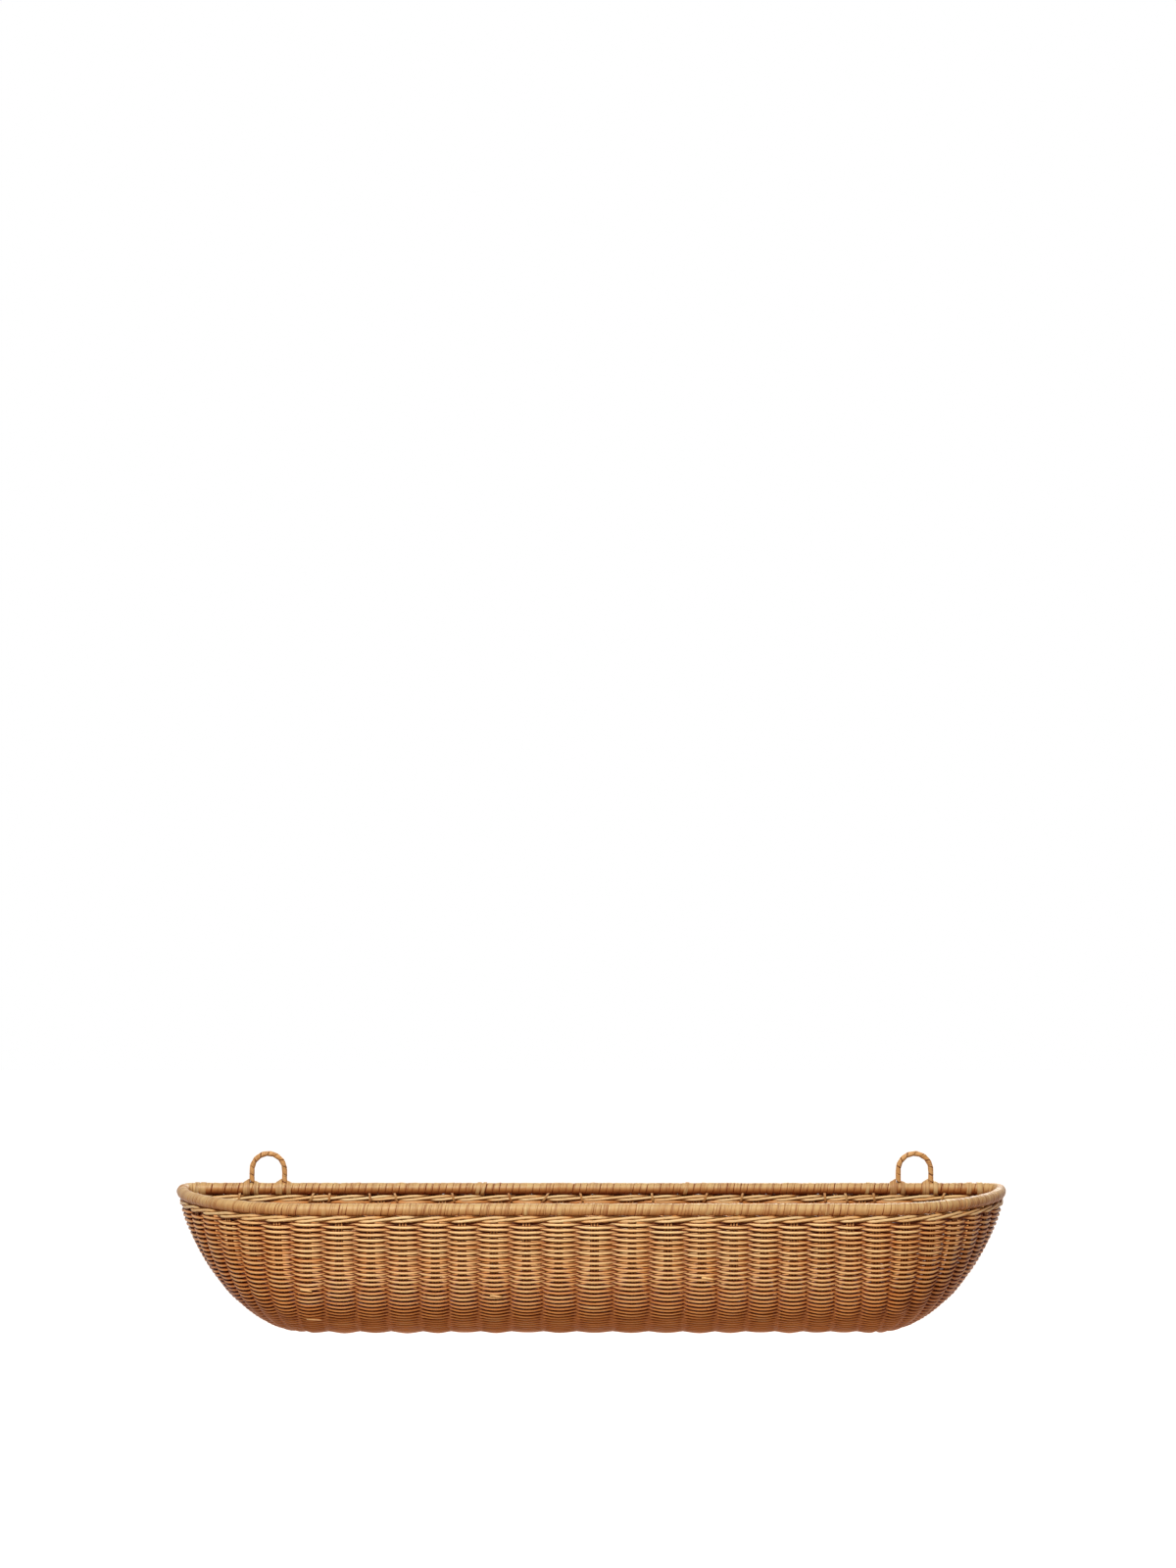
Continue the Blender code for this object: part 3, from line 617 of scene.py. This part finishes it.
stake_places = np.concatenate([-right_places[::-1], crossing_x / STRAIGHT_HALF, right_places])
stake_count = len(stake_places)
last_q = stake_count - 1
front_q = np.arange(0, last_q * STEPS_PER_STAKE + 1) / STEPS_PER_STAKE
front_q = np.concatenate([[-0.5, -0.25], front_q, [last_q + 0.25, last_q + 0.5]])
q_marks = np.concatenate([[-0.5], np.arange(stake_count), [last_q + 0.5]])
front_places = np.interp(front_q, q_marks, np.concatenate([[-2.0], stake_places, [2.0]]))


def by_share(shares, knots):
    """Values at the shares, from knots of a share and a value."""
    return np.interp(shares, *zip(*knots))


def down_the_wall(place):
    """Angles from the wale down to the base at a place, with the run of lengths between."""
    angles = np.linspace(start_angle(place, WEAVE_TOP_Z), math.pi / 2, 200)
    return angles, run_along(wall(place, angles))


front_rows = round(down_the_wall(0.0)[1][-1] / ROW_PITCH)
row_numbers = np.arange(front_rows)
row_shares = (row_numbers + 0.5) / front_rows
row_angles = np.empty((front_rows, len(front_places)))
for column, place in enumerate(front_places):
    angles, run = down_the_wall(place)
    row_angles[:, column] = np.interp(row_shares * run[-1], run, angles)
lay, outward, along = wall_frame(front_places[None, :], row_angles)
down = unit(np.cross(along, outward))

# How far out each row is, and how far its outside passes hang down. Past the outermost
# stake it stays as it was there.
row_ease = by_share(row_shares, ROW_EASE)
lifts = np.stack([weaving(k, front_q, row_ease[k]) for k in row_numbers])
stake_bulge = chance.uniform(*UNEVEN_BULGE, stake_count)
stake_bulge = np.interp(front_q, np.arange(stake_count), stake_bulge)
uneven = by_share(row_shares, ROW_UNEVEN)[:, None]
lifts = lifts * (1 - uneven + uneven * stake_bulge)
droop = by_share(row_shares, ROW_DROOP)[:, None] * np.clip(lifts, 0, 1) ** 2
lay = lay + down * droop[..., None]
outermost = np.stack([weaving(k, np.clip(front_q, 0, last_q)) for k in row_numbers])
lifts = np.where((front_q < 0) | (front_q > last_q), CORNER_LIFT * outermost, lifts)


def carried(values, end):
    """Each row's value at one end, once for every step of its turn round the corner."""
    return np.repeat(values[:, end][:, None], CORNER_STEPS, axis=1)


# At both ends each row turns the corner and runs on a little way along the back.
for end in (0, -1):
    turn = np.linspace(0, math.pi / 2, CORNER_STEPS + 1)[1:]
    if end == 0:
        turn = turn[::-1]
    opposite = -np.sign(weaving(row_numbers, front_q[end] + 0.5 * np.sign(front_q[end])))
    step_back = RAIL_Y - opposite * LIFT * BACK_RELIEF - lay[:, end, 1]
    hook = carried(lay, end)
    hook[..., 0] += -np.sign(lay[:, end, 0])[:, None] * CORNER_TURN * (1 - np.cos(turn))
    hook[..., 1] += step_back[:, None] * np.sin(turn)
    pairs = [(hook, lay)] + [(carried(values, end), values) for values in (outward, down, lifts)]
    lay, outward, down, lifts = (np.concatenate(pair if end == 0 else pair[::-1], axis=1)
                                 for pair in pairs)

row_relief = by_share(row_shares, ROW_RELIEF)
row_painted_shade = by_share(row_shares, ROW_PAINTED_SHADE)
to_ends = by_share(np.abs(lay[0, :, 0]), ((STRAIGHT_HALF - 0.04, 0),
                                          (RIM_HALF_LENGTH - 0.03, END_PAINTED_SHADE)))
rows = [(lay[k], outward[k], down[k], lifts[k], row_relief[k], row_painted_shade[k] + to_ends)
        for k in row_numbers]
weave_rows("front_weave", rows, "woven_front")

# Here and there a length of reed runs out, and its cut end lies on the outside of the wall.
first_stake = CORNER_STEPS + 2
runs, bulges = [], []
for row, start, stop in CUT_ENDS:
    shown = slice(first_stake + round(start * STEPS_PER_STAKE),
                  first_stake + round(stop * STEPS_PER_STAKE) + 1)
    line, out, below = lay[row, shown], outward[row, shown], down[row, shown]
    rising = np.linspace(0.2, 1.0, len(line))
    path = line + out * (LIFT * row_relief[row] + REED_RADIUS * rising)[:, None]
    path = path + below * (REED_RADIUS * 1.2 * rising)[:, None]
    radii = REED_RADIUS * np.linspace(1.1, 0.75, len(line))
    runs.append((path, radii, 0.35, np.ones(len(line)), below))
    bulges.append(out * 0.5)
settle(strands("cut_ends", runs, weaver_finish, bulges=bulges), "woven_reed", "woven_front")


# Weave of the back and the base
# The same rows carry on down the flat back, round the bend of the stakes and forward under
# the base. At both ends of the back the rows stop on the curve of the rounded ends.
WALE_TUCK = 0.0008           # how far the top row is pushed up into the wale
BEND_ROWS = 4
BEND_RELIEF = 0.3
# Painted shade: the rows of the back, the bend and the base are darker and warmer, for the shade
# inside and under the basket.
BACK_PAINTED_SHADE, BEND_PAINTED_SHADE, BASE_PAINTED_SHADE = 0.55, 0.65, 0.75
BACK_SWELL, BASE_SWELL = 1.08, 1.04     # how much fuller the reed is there than in front

back_only = [middle_x(name) for name in nodes_from(("left_back_stake", "right_back_stake"))]
back_x = np.sort(np.concatenate([back_only, crossing_x]))
edge_angles = np.linspace(start_angle(2.0, WEAVE_TOP_Z), math.pi / 2, 120)
edge_points, edge_outward, _ = wall_frame(2.0, edge_angles)
edge_line = edge_points + edge_outward * LIFT


def back_reach(z):
    """Half length of the back at a height."""
    return np.interp(-z, -edge_line[:, 2], edge_line[:, 0])


def base_reach(y):
    """Half length of the base at a distance from the wall."""
    xs, ys, _ = BASE_CURVE
    return np.interp(-y, -ys, xs)


def straight_row(row, reach, stakes, y, z, out, relief, painted_shade):
    """One row along the wall between -reach and reach, over the stakes that it meets."""
    met = stakes[np.abs(stakes) < reach - STAKE_ROD * 1.5]
    first = int(np.searchsorted(stakes, met[0]))
    q = first + np.arange(-4, (len(met) - 1) * STEPS_PER_STAKE + 5) / STEPS_PER_STAKE
    marks = np.concatenate([[-reach], met, [reach]])
    q_at = first + np.concatenate([[-0.5], np.arange(len(met)), [len(met) - 0.5]])
    points = points_at(np.interp(q, q_at, marks), y, z)
    outward = np.broadcast_to(out, points.shape)
    down = np.broadcast_to(np.cross(RIGHT, out), points.shape)
    return points, outward, down, weaving(row + 1, q, 1.0), relief, painted_shade


back_drop = WEAVE_TOP_Z + WALE_TUCK - (BASE_Z + BASE_BEND)
back_rows = round(back_drop / ROW_PITCH)
rows = []
for k in range(back_rows):
    z = WEAVE_TOP_Z + WALE_TUCK - (k + 0.5) * back_drop / back_rows
    flatter = np.interp(back_rows - k, [0, 6], [BEND_RELIEF, BACK_RELIEF])
    rows.append(straight_row(k, back_reach(z), back_x, RAIL_Y, z, TO_WALL, flatter, BACK_PAINTED_SHADE))
weave_rows("back_weave", rows, "woven_back", BACK_SWELL)

rows = []
for k in range(BEND_ROWS):
    turn = math.pi / 2 * (k + 0.5) / BEND_ROWS
    y = RAIL_Y - BASE_BEND + BASE_BEND * math.cos(turn)
    z = BASE_Z + BASE_BEND - BASE_BEND * math.sin(turn)
    out = (0.0, math.cos(turn), -math.sin(turn))
    rows.append(straight_row(back_rows + k, back_reach(z), crossing_x, y, z, out, BEND_RELIEF,
                             BEND_PAINTED_SHADE))
base_depth = BASE_REACH + RAIL_Y - BASE_BEND
base_rows = round(base_depth / ROW_PITCH)
for k in range(base_rows):
    y = RAIL_Y - BASE_BEND - (k + 0.5) * base_depth / base_rows
    row = back_rows + BEND_ROWS + k
    flatter = np.interp(k, [0, 5], [BEND_RELIEF, BASE_RELIEF])
    rows.append(straight_row(row, base_reach(y), crossing_x, y, BASE_Z, -UP, flatter,
                             BASE_PAINTED_SHADE))
weave_rows("base_weave", rows, "woven_base", BASE_SWELL)


# Wale
# Three rods twined as a rope under the rim: each passes outside two stake groups and inside
# the third, climbing from the low lane to the high one as it goes.
WALE_RADIUS = 0.00148
WALE_LIFT = STAKE_ROD / 2 + WALE_RADIUS
WALE_CLIMB = 0.00245         # from the middle of the wale to its high and its low lane
WALE_Z = STAKE_TOP_Z - WALE_HEIGHT / 2 + 0.0004
RUN_ON = 1.2                 # stake counts that the back wale runs on past its outer stakes
BENT_ROD = 0.00142
BENT_PITCH = 0.0026
BENT_TOP_Z = STAKE_TOP_Z - 0.0010
BENT_Y = RAIL_Y + 0.0018
BENT_STEPS = 160

wale_finish = rattan_finish("wale_reed", (0.78, 0.60, 0.315), (0.66, 0.34, 0.108),
                            (0.17, 0.026, 0.004), 0.35, 0.00018)


def wale_swing(phase):
    """Out and up shares of one wale rod over a period of three stakes."""
    u = np.mod(phase, 3.0)
    out = np.clip((0.3 - np.cos(math.tau * u / 3)) / 0.55, -1, 1)
    out = np.sin(math.pi / 2 * out)
    climbing = np.interp(u, [0, 0.35, 1.0, 2.0, 2.65, 3.0], [0, -0.95, -0.72, 0.72, 0.95, 0])
    return out, climbing


def wale_rods(points, outward, q):
    """Runs of the three rods along a line of points, at their stake counts q."""
    runs = []
    for k in range(3):
        out, climb = wale_swing(q - k)
        path = points + outward * (out * WALE_LIFT)[:, None]
        path[:, 2] += climb * WALE_CLIMB + wander(len(q), STRAY)
        radii = WALE_RADIUS * (1 + wander(len(q), GIRTH))
        tone = 0.35 + chance.normal(0, 0.15) + wander(len(q), 0.12, 24)
        # Painted shade along the rod's upper and lower sides and where it passes between the
        # stakes; a painted highlight where it lies furthest out or in.
        runs.append((path, radii, tone, np.abs(out), UP))
    return runs


points, outward, _ = wall_frame(front_places, start_angle(front_places, WALE_Z))
outward = unit(outward * [1, 1, 0])
settle(strands("front_wale_rods", wale_rods(points, outward, front_q), wale_finish),
       "wale_reed", "front_wale")

wale_reach = RIM_HALF_LENGTH + 0.002
marks = np.concatenate([[-wale_reach], back_x, [wale_reach]])
wale_stop = len(back_x) - 1 + RUN_ON
q_at = np.concatenate([[-RUN_ON], np.arange(len(back_x)), [wale_stop]])
back_q = np.arange(-RUN_ON, wale_stop, 1 / STEPS_PER_STAKE)
points = points_at(np.interp(back_q, q_at, marks), RAIL_Y, WALE_Z)
settle(strands("back_wale_rods", wale_rods(points, -TO_WALL, back_q), wale_finish),
       "wale_reed", "back_wale")

# The stakes' cut ends are bent over and lie in three rows on the wall side of the back wale.
runs = []
for k in range(3):
    level = BENT_TOP_Z - BENT_PITCH * k + wander(BENT_STEPS, 0.00006)
    points = points_at(np.linspace(-RIM_HALF_LENGTH, RIM_HALF_LENGTH, BENT_STEPS), BENT_Y, level)
    # A lift below 0 puts these ends in painted shade.
    runs.append((points, BENT_ROD, 0.6 + wander(BENT_STEPS, 0.15), -0.1, UP))
settle(strands("bent_over_ends", runs, stake_finish, 1), "rattan_core")


# Rim and back rail
# A bare rattan rod bound all along with flat glossy peel, one turn beside the next. The
# front rod bends round both corners to meet the ends of the rail.
PEEL_THICK = 0.00115
RIM_PEEL = (0.00690, 0.00700, RIM_RADIUS - PEEL_THICK, PEEL_THICK)  # pitch, width, bore, thickness
TURN_STEPS = 18
SEAM_DARK = 0.89             # share of a strip's half width beyond which a seam is dark
SEAM_CLEAN = 0.84            # and short of which it is clean
RIM_SEAMS_AND_SHADE, RAIL_SEAMS_AND_SHADE = 1.15, 3.4     # how dark the seams are, and how much painted shade the underside takes
RAIL_REACH = RIM_HALF_LENGTH - RIM_CORNER - 0.0040
HOOP_OVERLAP = 0.0088        # how far the front rod's ends run in along the rail
BAND_STEPS = 28
BAND_THICK = 0.0010
BAND_REACH = RIM_RADIUS - 0.0003    # from the rail's middle out to the seat of a single turn
TIE_COUNT = 16
TIE_WIDTH, TIE_THICK = 0.0024, 0.0007
TIE_EASE = 0.7               # below 1: straight up and down between its bends
TIE_TOP, TIE_FOOT = RIM_Z - RIM_RADIUS / 2, WEAVE_TOP_Z - 0.0004
# Turns tucked in over the winding: place along the rim, width, and how far they lean.
RAIL_TUCKS = ((-0.4065, 0.0050, 0.0012), (-0.3997, 0.0058, 0.0004), (0.3999, 0.0058, -0.0004),
              (-0.1165, 0.0042, 0.0030), (-0.1110, 0.0036, 0.0034),
              (0.0975, 0.0040, 0.0032), (0.2843, 0.0038, 0.0020), (0.3890, 0.0052, 0.0012))
RIM_TUCKS = ((-0.2620, 0.0046, 0.0010), (-0.0640, 0.0036, 0.0016), (-0.0310, 0.0040, 0.0014),
             (0.1140, 0.0044, 0.0024), (0.1430, 0.0036, 0.0018), (0.2310, 0.0040, 0.0020))

peel_finish = rattan_finish("rim_peel", (0.59, 0.425, 0.195), (0.44, 0.20, 0.060),
                            (0.19, 0.036, 0.005), 0.75, 0.00026, 0.34)


def spun_strip(pitch, width, bore, thick):
    """One turn of a flat strip round X, closed into a ring where the pitch is zero."""
    strip = bmesh.new()
    half = width / 2
    slope = ((SEAM_CLEAN, 1.0), (SEAM_DARK, 0.98), (0.97, 0.84), (1.0, 0.0))
    profile = [(half * along, thick * high) for along, high in slope]
    profile = [(-x, rise) for x, rise in reversed(profile)] + profile
    verts = [strip.verts.new((x, bore + rise, 0)) for x, rise in profile]
    edges = [strip.edges.new(pair) for pair in zip(verts, verts[1:] + verts[:1])]
    bmesh.ops.spin(strip, geom=verts + edges, cent=(0, 0, 0), axis=(1, 0, 0),
                   dvec=(pitch / TURN_STEPS, 0, 0), angle=math.tau, steps=TURN_STEPS,
                   use_merge=pitch == 0)
    return strip


def peel_winding(turns, pitch, width, bore, thick):
    """One flat strip wound on a straight rod along X: a turn is spun, then repeated."""
    strip = spun_strip(pitch, width, bore, thick)
    turn_mesh = bpy.data.meshes.new("one_turn")
    strip.to_mesh(turn_mesh)
    strip.free()
    turn = bpy.data.objects.new("one_turn", turn_mesh)
    repeat = turn.modifiers.new("turns", "ARRAY")
    repeat.count = turns
    repeat.use_relative_offset = False
    repeat.use_constant_offset = True
    repeat.constant_offset_displace = (pitch, 0, 0)
    repeat.use_merge_vertices = True
    repeat.merge_threshold = 0.00001
    mesh = mesh_of(turn)
    close_ends(mesh)
    return mesh


def line_at(wanted, marks, line):
    """Points of a line, or directions along it, between the marks of its own points."""
    return np.stack([np.interp(wanted, marks, axis) for axis in line.T], -1)


def face_outwards(mesh):
    """Turn a wound mesh's faces outwards: its spin and its way along the path can turn it."""
    laid = bmesh.new()
    laid.from_mesh(mesh)
    laid.normal_update()
    bmesh.ops.recalc_face_normals(laid, faces=laid.faces)
    laid.to_mesh(mesh)
    laid.free()


def lay_winding(name, path, side, finish, pitch, width, bore, thick, rough=1.0, seams_and_shade=1.0):
    """Wind peel along a path that lies square to the direction side. Turns differ a little in
    width, height and tilt, and the seams between them open and show dark, more so on the
    underside, where the peel also takes painted shade, darker and warmer."""
    run = run_along(path)
    turns = round(run[-1] / pitch)
    pace = run[-1] / turns
    mesh = peel_winding(turns, pitch, width, bore, thick)
    flat = mesh_points(mesh)
    angle = np.mod(np.arctan2(flat[:, 2], flat[:, 1]), math.tau)
    number = np.round(flat[:, 0] / pitch - angle / math.tau)
    wound = number + angle / math.tau
    across = flat[:, 0] - pitch * wound
    radial = np.hypot(flat[:, 1], flat[:, 2])
    knots = np.arange(-2, turns * 2 + 4) / 2    # every half turn has its own ways

    def varied(spread):
        return np.interp(wound, knots, chance.normal(0, spread, len(knots)))

    tilt, bulge, drift = (varied(spread) * rough for spread in (0.05, 0.07, 0.028))
    tones = varied(0.06)
    # Dark seams between turns, more and darker on the underside: partly real gaps, partly painted
    # shade.
    under = chance.choice([0.15, 0.8, 2.0], len(knots), p=[0.4, 0.3, 0.3])
    above = chance.choice([0.0, 0.15, 0.8], len(knots), p=[0.6, 0.25, 0.15])
    gaps = seams_and_shade * np.interp(wound, knots, np.where(knots % 1 == 0.5, under, above))
    rise = radial - bore
    radial = radial + np.where(rise > thick / 4, thick * bulge + across * tilt, 0)
    reached = pace * (wound + 0.5) + across * pace / pitch + drift * pitch
    reached = np.clip(reached, 0, run[-1])
    heading = unit(line_at(reached, run, unit(np.gradient(path, axis=0))))
    out = unit(np.cross(side, heading))
    place = line_at(reached, run, path) + radial[:, None] * (
        np.cos(angle)[:, None] * side + np.sin(angle)[:, None] * out)
    mesh.vertices.foreach_set("co", place.ravel())
    straight = points_at(across, rise, wound * math.tau * bore + chance.uniform(0, 9))
    edge = np.interp(np.abs(across) / (width / 2), [SEAM_CLEAN, SEAM_DARK], [1, 0])
    # Painted shade: the underside is darker and warmer.
    below = np.clip((0.42 - np.cos(angle)) / 1.1, 0, 1)
    shaded_lift = 0.78 - 0.38 * seams_and_shade * below
    set_facts(mesh, straight, 0.34 + tones + 0.25 * seams_and_shade * below, shaded_lift - 1.1 * gaps * (1 - edge))
    face_outwards(mesh)
    return finished(name, mesh, finish)


def peel_bands(name, bands, finish, tone=0.35):
    """Closed bands of flat peel in one piece. A band is (path, side, width, thickness): the
    points round it, the direction of its width there, and its section."""
    ring = spun_strip(0, 1.0, 1.0, 1.0)
    mesh = bpy.data.meshes.new(name)
    ring.to_mesh(mesh)
    ring.free()
    flat = mesh_points(mesh)
    share = np.mod(np.arctan2(flat[:, 2], flat[:, 1]) / math.tau, 1.0)
    rise = np.hypot(flat[:, 1], flat[:, 2]) - 1
    many = bmesh.new()
    places, straight, tones, lifts = [], [], [], []
    for path, side, width, thick in bands:
        many.from_mesh(mesh)
        side = np.broadcast_to(side, path.shape)
        ahead = unit(np.roll(path, -1, axis=0) - np.roll(path, 1, axis=0))
        out = unit(np.cross(side, ahead))
        marks = np.arange(len(path) + 1) / len(path)
        centre, across, lifted = (line_at(share, marks, np.append(line, line[:1], axis=0))
                                  for line in (path, side, out))
        places.append(centre + across * (flat[:, :1] * width) + lifted * (rise * thick)[:, None])
        length = share * run_along(path)[-1] + chance.uniform(0, 9)
        straight.append(points_at(flat[:, 0] * width, rise * thick, length))
        tones.append(np.full(len(flat), tone + chance.normal(0, 0.12)))
        # Painted shade along both edges of a band, where it meets the winding, and a painted
        # highlight along its middle.
        lifts.append(np.where(np.abs(flat[:, 0]) > 0.47, -0.1, 0.75))
    many.verts.ensure_lookup_table()
    for vert, place in zip(many.verts, np.concatenate(places)):
        vert.co = place
    many.to_mesh(mesh)
    many.free()
    set_facts(mesh, np.concatenate(straight), np.concatenate(tones), np.concatenate(lifts))
    face_outwards(mesh)
    return finished(name, mesh, finish)


def rim_band(x, y, width, lean, reach=BAND_REACH):
    """A single turn over the winding. Lean is how far it runs along from bottom to top."""
    turn = np.linspace(0, math.tau, BAND_STEPS, endpoint=False)
    path = points_at(x + lean / 2 * np.cos(turn), y + reach * np.sin(turn),
                     RIM_Z + reach * np.cos(turn))
    return path, RIGHT, width, BAND_THICK


def hoop_line():
    """Centre line of the front rod, from the rail's left end round to its right end."""
    bend = np.linspace(math.pi / 2, 0, 9)
    centre_x, centre_y = RIM_HALF_LENGTH - RIM_CORNER, RAIL_Y - RIM_CORNER
    corner = points_at(centre_x + RIM_CORNER * np.cos(bend), centre_y + RIM_CORNER * np.sin(bend))
    along, out = superellipse(np.linspace(0, math.pi / 2, 60)[1:], RIM_END_FULLNESS)
    reach = RIM_RADIUS + RIM_CORNER
    curve = points_at(STRAIGHT_HALF + (RIM_HALF_LENGTH - STRAIGHT_HALF) * along,
                      -(reach + (RIM_REACH - reach) * out))
    right = np.concatenate([[[centre_x - HOOP_OVERLAP, RAIL_Y]], corner, curve])
    middle = points_at(np.linspace(STRAIGHT_HALF, -STRAIGHT_HALF, 80), -RIM_REACH)
    ring = np.concatenate([right, middle[1:-1], right[::-1] * [-1, 1]])
    return points_at(*ring.T, RIM_Z)[::-1]


front_wrap = lay_winding("front_rim_peel", hoop_line(), UP, peel_finish, *RIM_PEEL,
                         seams_and_shade=RIM_SEAMS_AND_SHADE)
settle(front_wrap, "rim_peel", "front_rim_wrap")
rail = points_at(np.linspace(-RAIL_REACH, RAIL_REACH, 200), RAIL_Y, RIM_Z)
rail_wrap = lay_winding("back_rail_peel", rail, UP, peel_finish, *RIM_PEEL, seams_and_shade=RAIL_SEAMS_AND_SHADE)
settle(rail_wrap, "rim_peel", "back_rim_wrap")

# New lengths of peel are tucked in here and there: a narrow turn that stands proud.
bands = [rim_band(x, RAIL_Y, width, lean) for x, width, lean in RAIL_TUCKS]
bands += [rim_band(x, -RIM_REACH, width, lean, BAND_REACH - 0.0003)
          for x, width, lean in RIM_TUCKS]
settle(peel_bands("tucked_turns", bands, peel_finish), "rim_peel")

# Narrow ties, each between two stakes, hold the back wale up against the rail.
bands = []
for x in chance.permutation((back_x[1:] + back_x[:-1]) / 2)[:TIE_COUNT]:
    turn = np.linspace(0, math.tau, BAND_STEPS, endpoint=False)
    deep = (WALE_LIFT + WALE_RADIUS) * eased(np.sin(turn), TIE_EASE)
    tall = (TIE_TOP - TIE_FOOT) / 2 * eased(np.cos(turn), TIE_EASE)
    x = x + chance.uniform(-0.007, 0.007) + chance.uniform(-0.003, 0.005) * np.cos(turn)
    path = points_at(x, RAIL_Y + deep, (TIE_TOP + TIE_FOOT) / 2 + tall)
    bands.append((path, RIGHT, TIE_WIDTH, TIE_THICK))
settle(peel_bands("back_ties", bands, peel_finish, 0.8), "rim_peel")

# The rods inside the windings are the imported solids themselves, in a plain brown finish.
rod_finish, rod_tree, rod_shader = new_finish("bare_rod")
rod_place = add_node(rod_tree, "TexCoord", {})
rod_grain = add_node(rod_tree, "TexNoise", {"Vector": rod_place.outputs["Object"],
                                            "Scale": 420.0, "Detail": 3.0})
rod_ramp = add_node(rod_tree, "ValToRGB", {"Fac": rod_grain.outputs["Fac"]})
rod_ramp.color_ramp.elements[0].color = (0.10, 0.042, 0.016, 1)
rod_ramp.color_ramp.elements[1].color = (0.26, 0.12, 0.045, 1)
rod_shader.inputs["Roughness"].default_value = 0.6
rod_tree.links.new(rod_ramp.outputs["Color"], rod_shader.inputs["Base Color"])
for node in ("front_rim_core", "back_rim_core", "left_eye_core", "right_eye_core"):
    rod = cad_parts[node]
    rod.data.materials.clear()
    rod.data.materials.append(rod_finish)


# Hanging eyes
# Two thin rods bent into upright eyes on the back rail, wound with paler peel on a steep
# lay, their feet bound to the rail by a tight turn on either side.
EYE_RADIUS = 0.0027
EYE_PEEL_THICK = 0.0009
EYE_PEEL = (0.0078, 0.0074, EYE_RADIUS - EYE_PEEL_THICK, EYE_PEEL_THICK)
FOOT_SINK = 0.0001           # how far a lashing sinks into the rail's winding
FOOT_PRESS = 0.0003          # and into the winding of the leg beside it
FOOT_DRAW = 0.8              # how far round the rail its near edge is drawn up, as an angle
FOOT_TURNS = ((-1, 0.0070, 0.55), (1, 0.0046, 0.35))    # side of the leg, width, tilt

eye_finish = rattan_finish("eye_peel", (0.74, 0.49, 0.235), (0.56, 0.29, 0.095),
                           (0.20, 0.045, 0.010), 0.55, 0.00016, 0.4)


def eye_line(side):
    """Centre line of an eye from foot to foot, with its middle and its radius."""
    low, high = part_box(f"{side}_eye_wrap")
    middle = (low[0] + high[0]) / 2
    radius = (high[0] - low[0]) / 2 - EYE_RADIUS
    head_z = high[2] - EYE_RADIUS - radius
    turn = np.linspace(math.pi, 0, 40)
    head = points_at(middle + radius * np.cos(turn), RAIL_Y, head_z + radius * np.sin(turn))
    legs = np.linspace(RIM_Z + RIM_RADIUS * 0.55, head_z, 12)[:-1]
    left = points_at(middle - radius, RAIL_Y, legs)
    right = points_at(middle + radius, RAIL_Y, legs[::-1])
    return np.concatenate([left, head, right]), middle, radius


def foot_band(x, hand, width, tilt):
    """A turn of peel round the rail beside a foot, its near edge drawn up against the leg."""
    turn = np.linspace(-math.pi, math.pi, BAND_STEPS, endpoint=False)
    drawn = np.exp(-(turn / FOOT_DRAW) ** 2)
    reach = RIM_RADIUS - FOOT_SINK
    path = points_at(x + hand * (EYE_RADIUS + width / 2 * math.cos(tilt) - FOOT_PRESS),
                     RAIL_Y + reach * np.sin(turn),
                     RIM_Z + reach * np.cos(turn) + drawn * width / 2 * math.sin(tilt))
    side = points_at(np.cos(tilt * drawn), 0.0, -hand * np.sin(tilt * drawn))
    return path, side, width, BAND_THICK


for side in ("left", "right"):
    line, middle, radius = eye_line(side)
    eye = lay_winding(f"{side}_eye_peel", line, TO_WALL, eye_finish, *EYE_PEEL, rough=0.4)
    settle(eye, "eye_peel", f"{side}_eye_wrap")
    inner_sign = 1 if side == "left" else -1
    for foot, sign in (("inner", inner_sign), ("outer", -inner_sign)):
        bands = [foot_band(middle + sign * radius, *turn) for turn in FOOT_TURNS]
        lashing = peel_bands(f"{side}_{foot}_lashing", bands, peel_finish, 0.38)
        settle(lashing, "eye_peel", f"{side}_eye_{foot}_lashing")
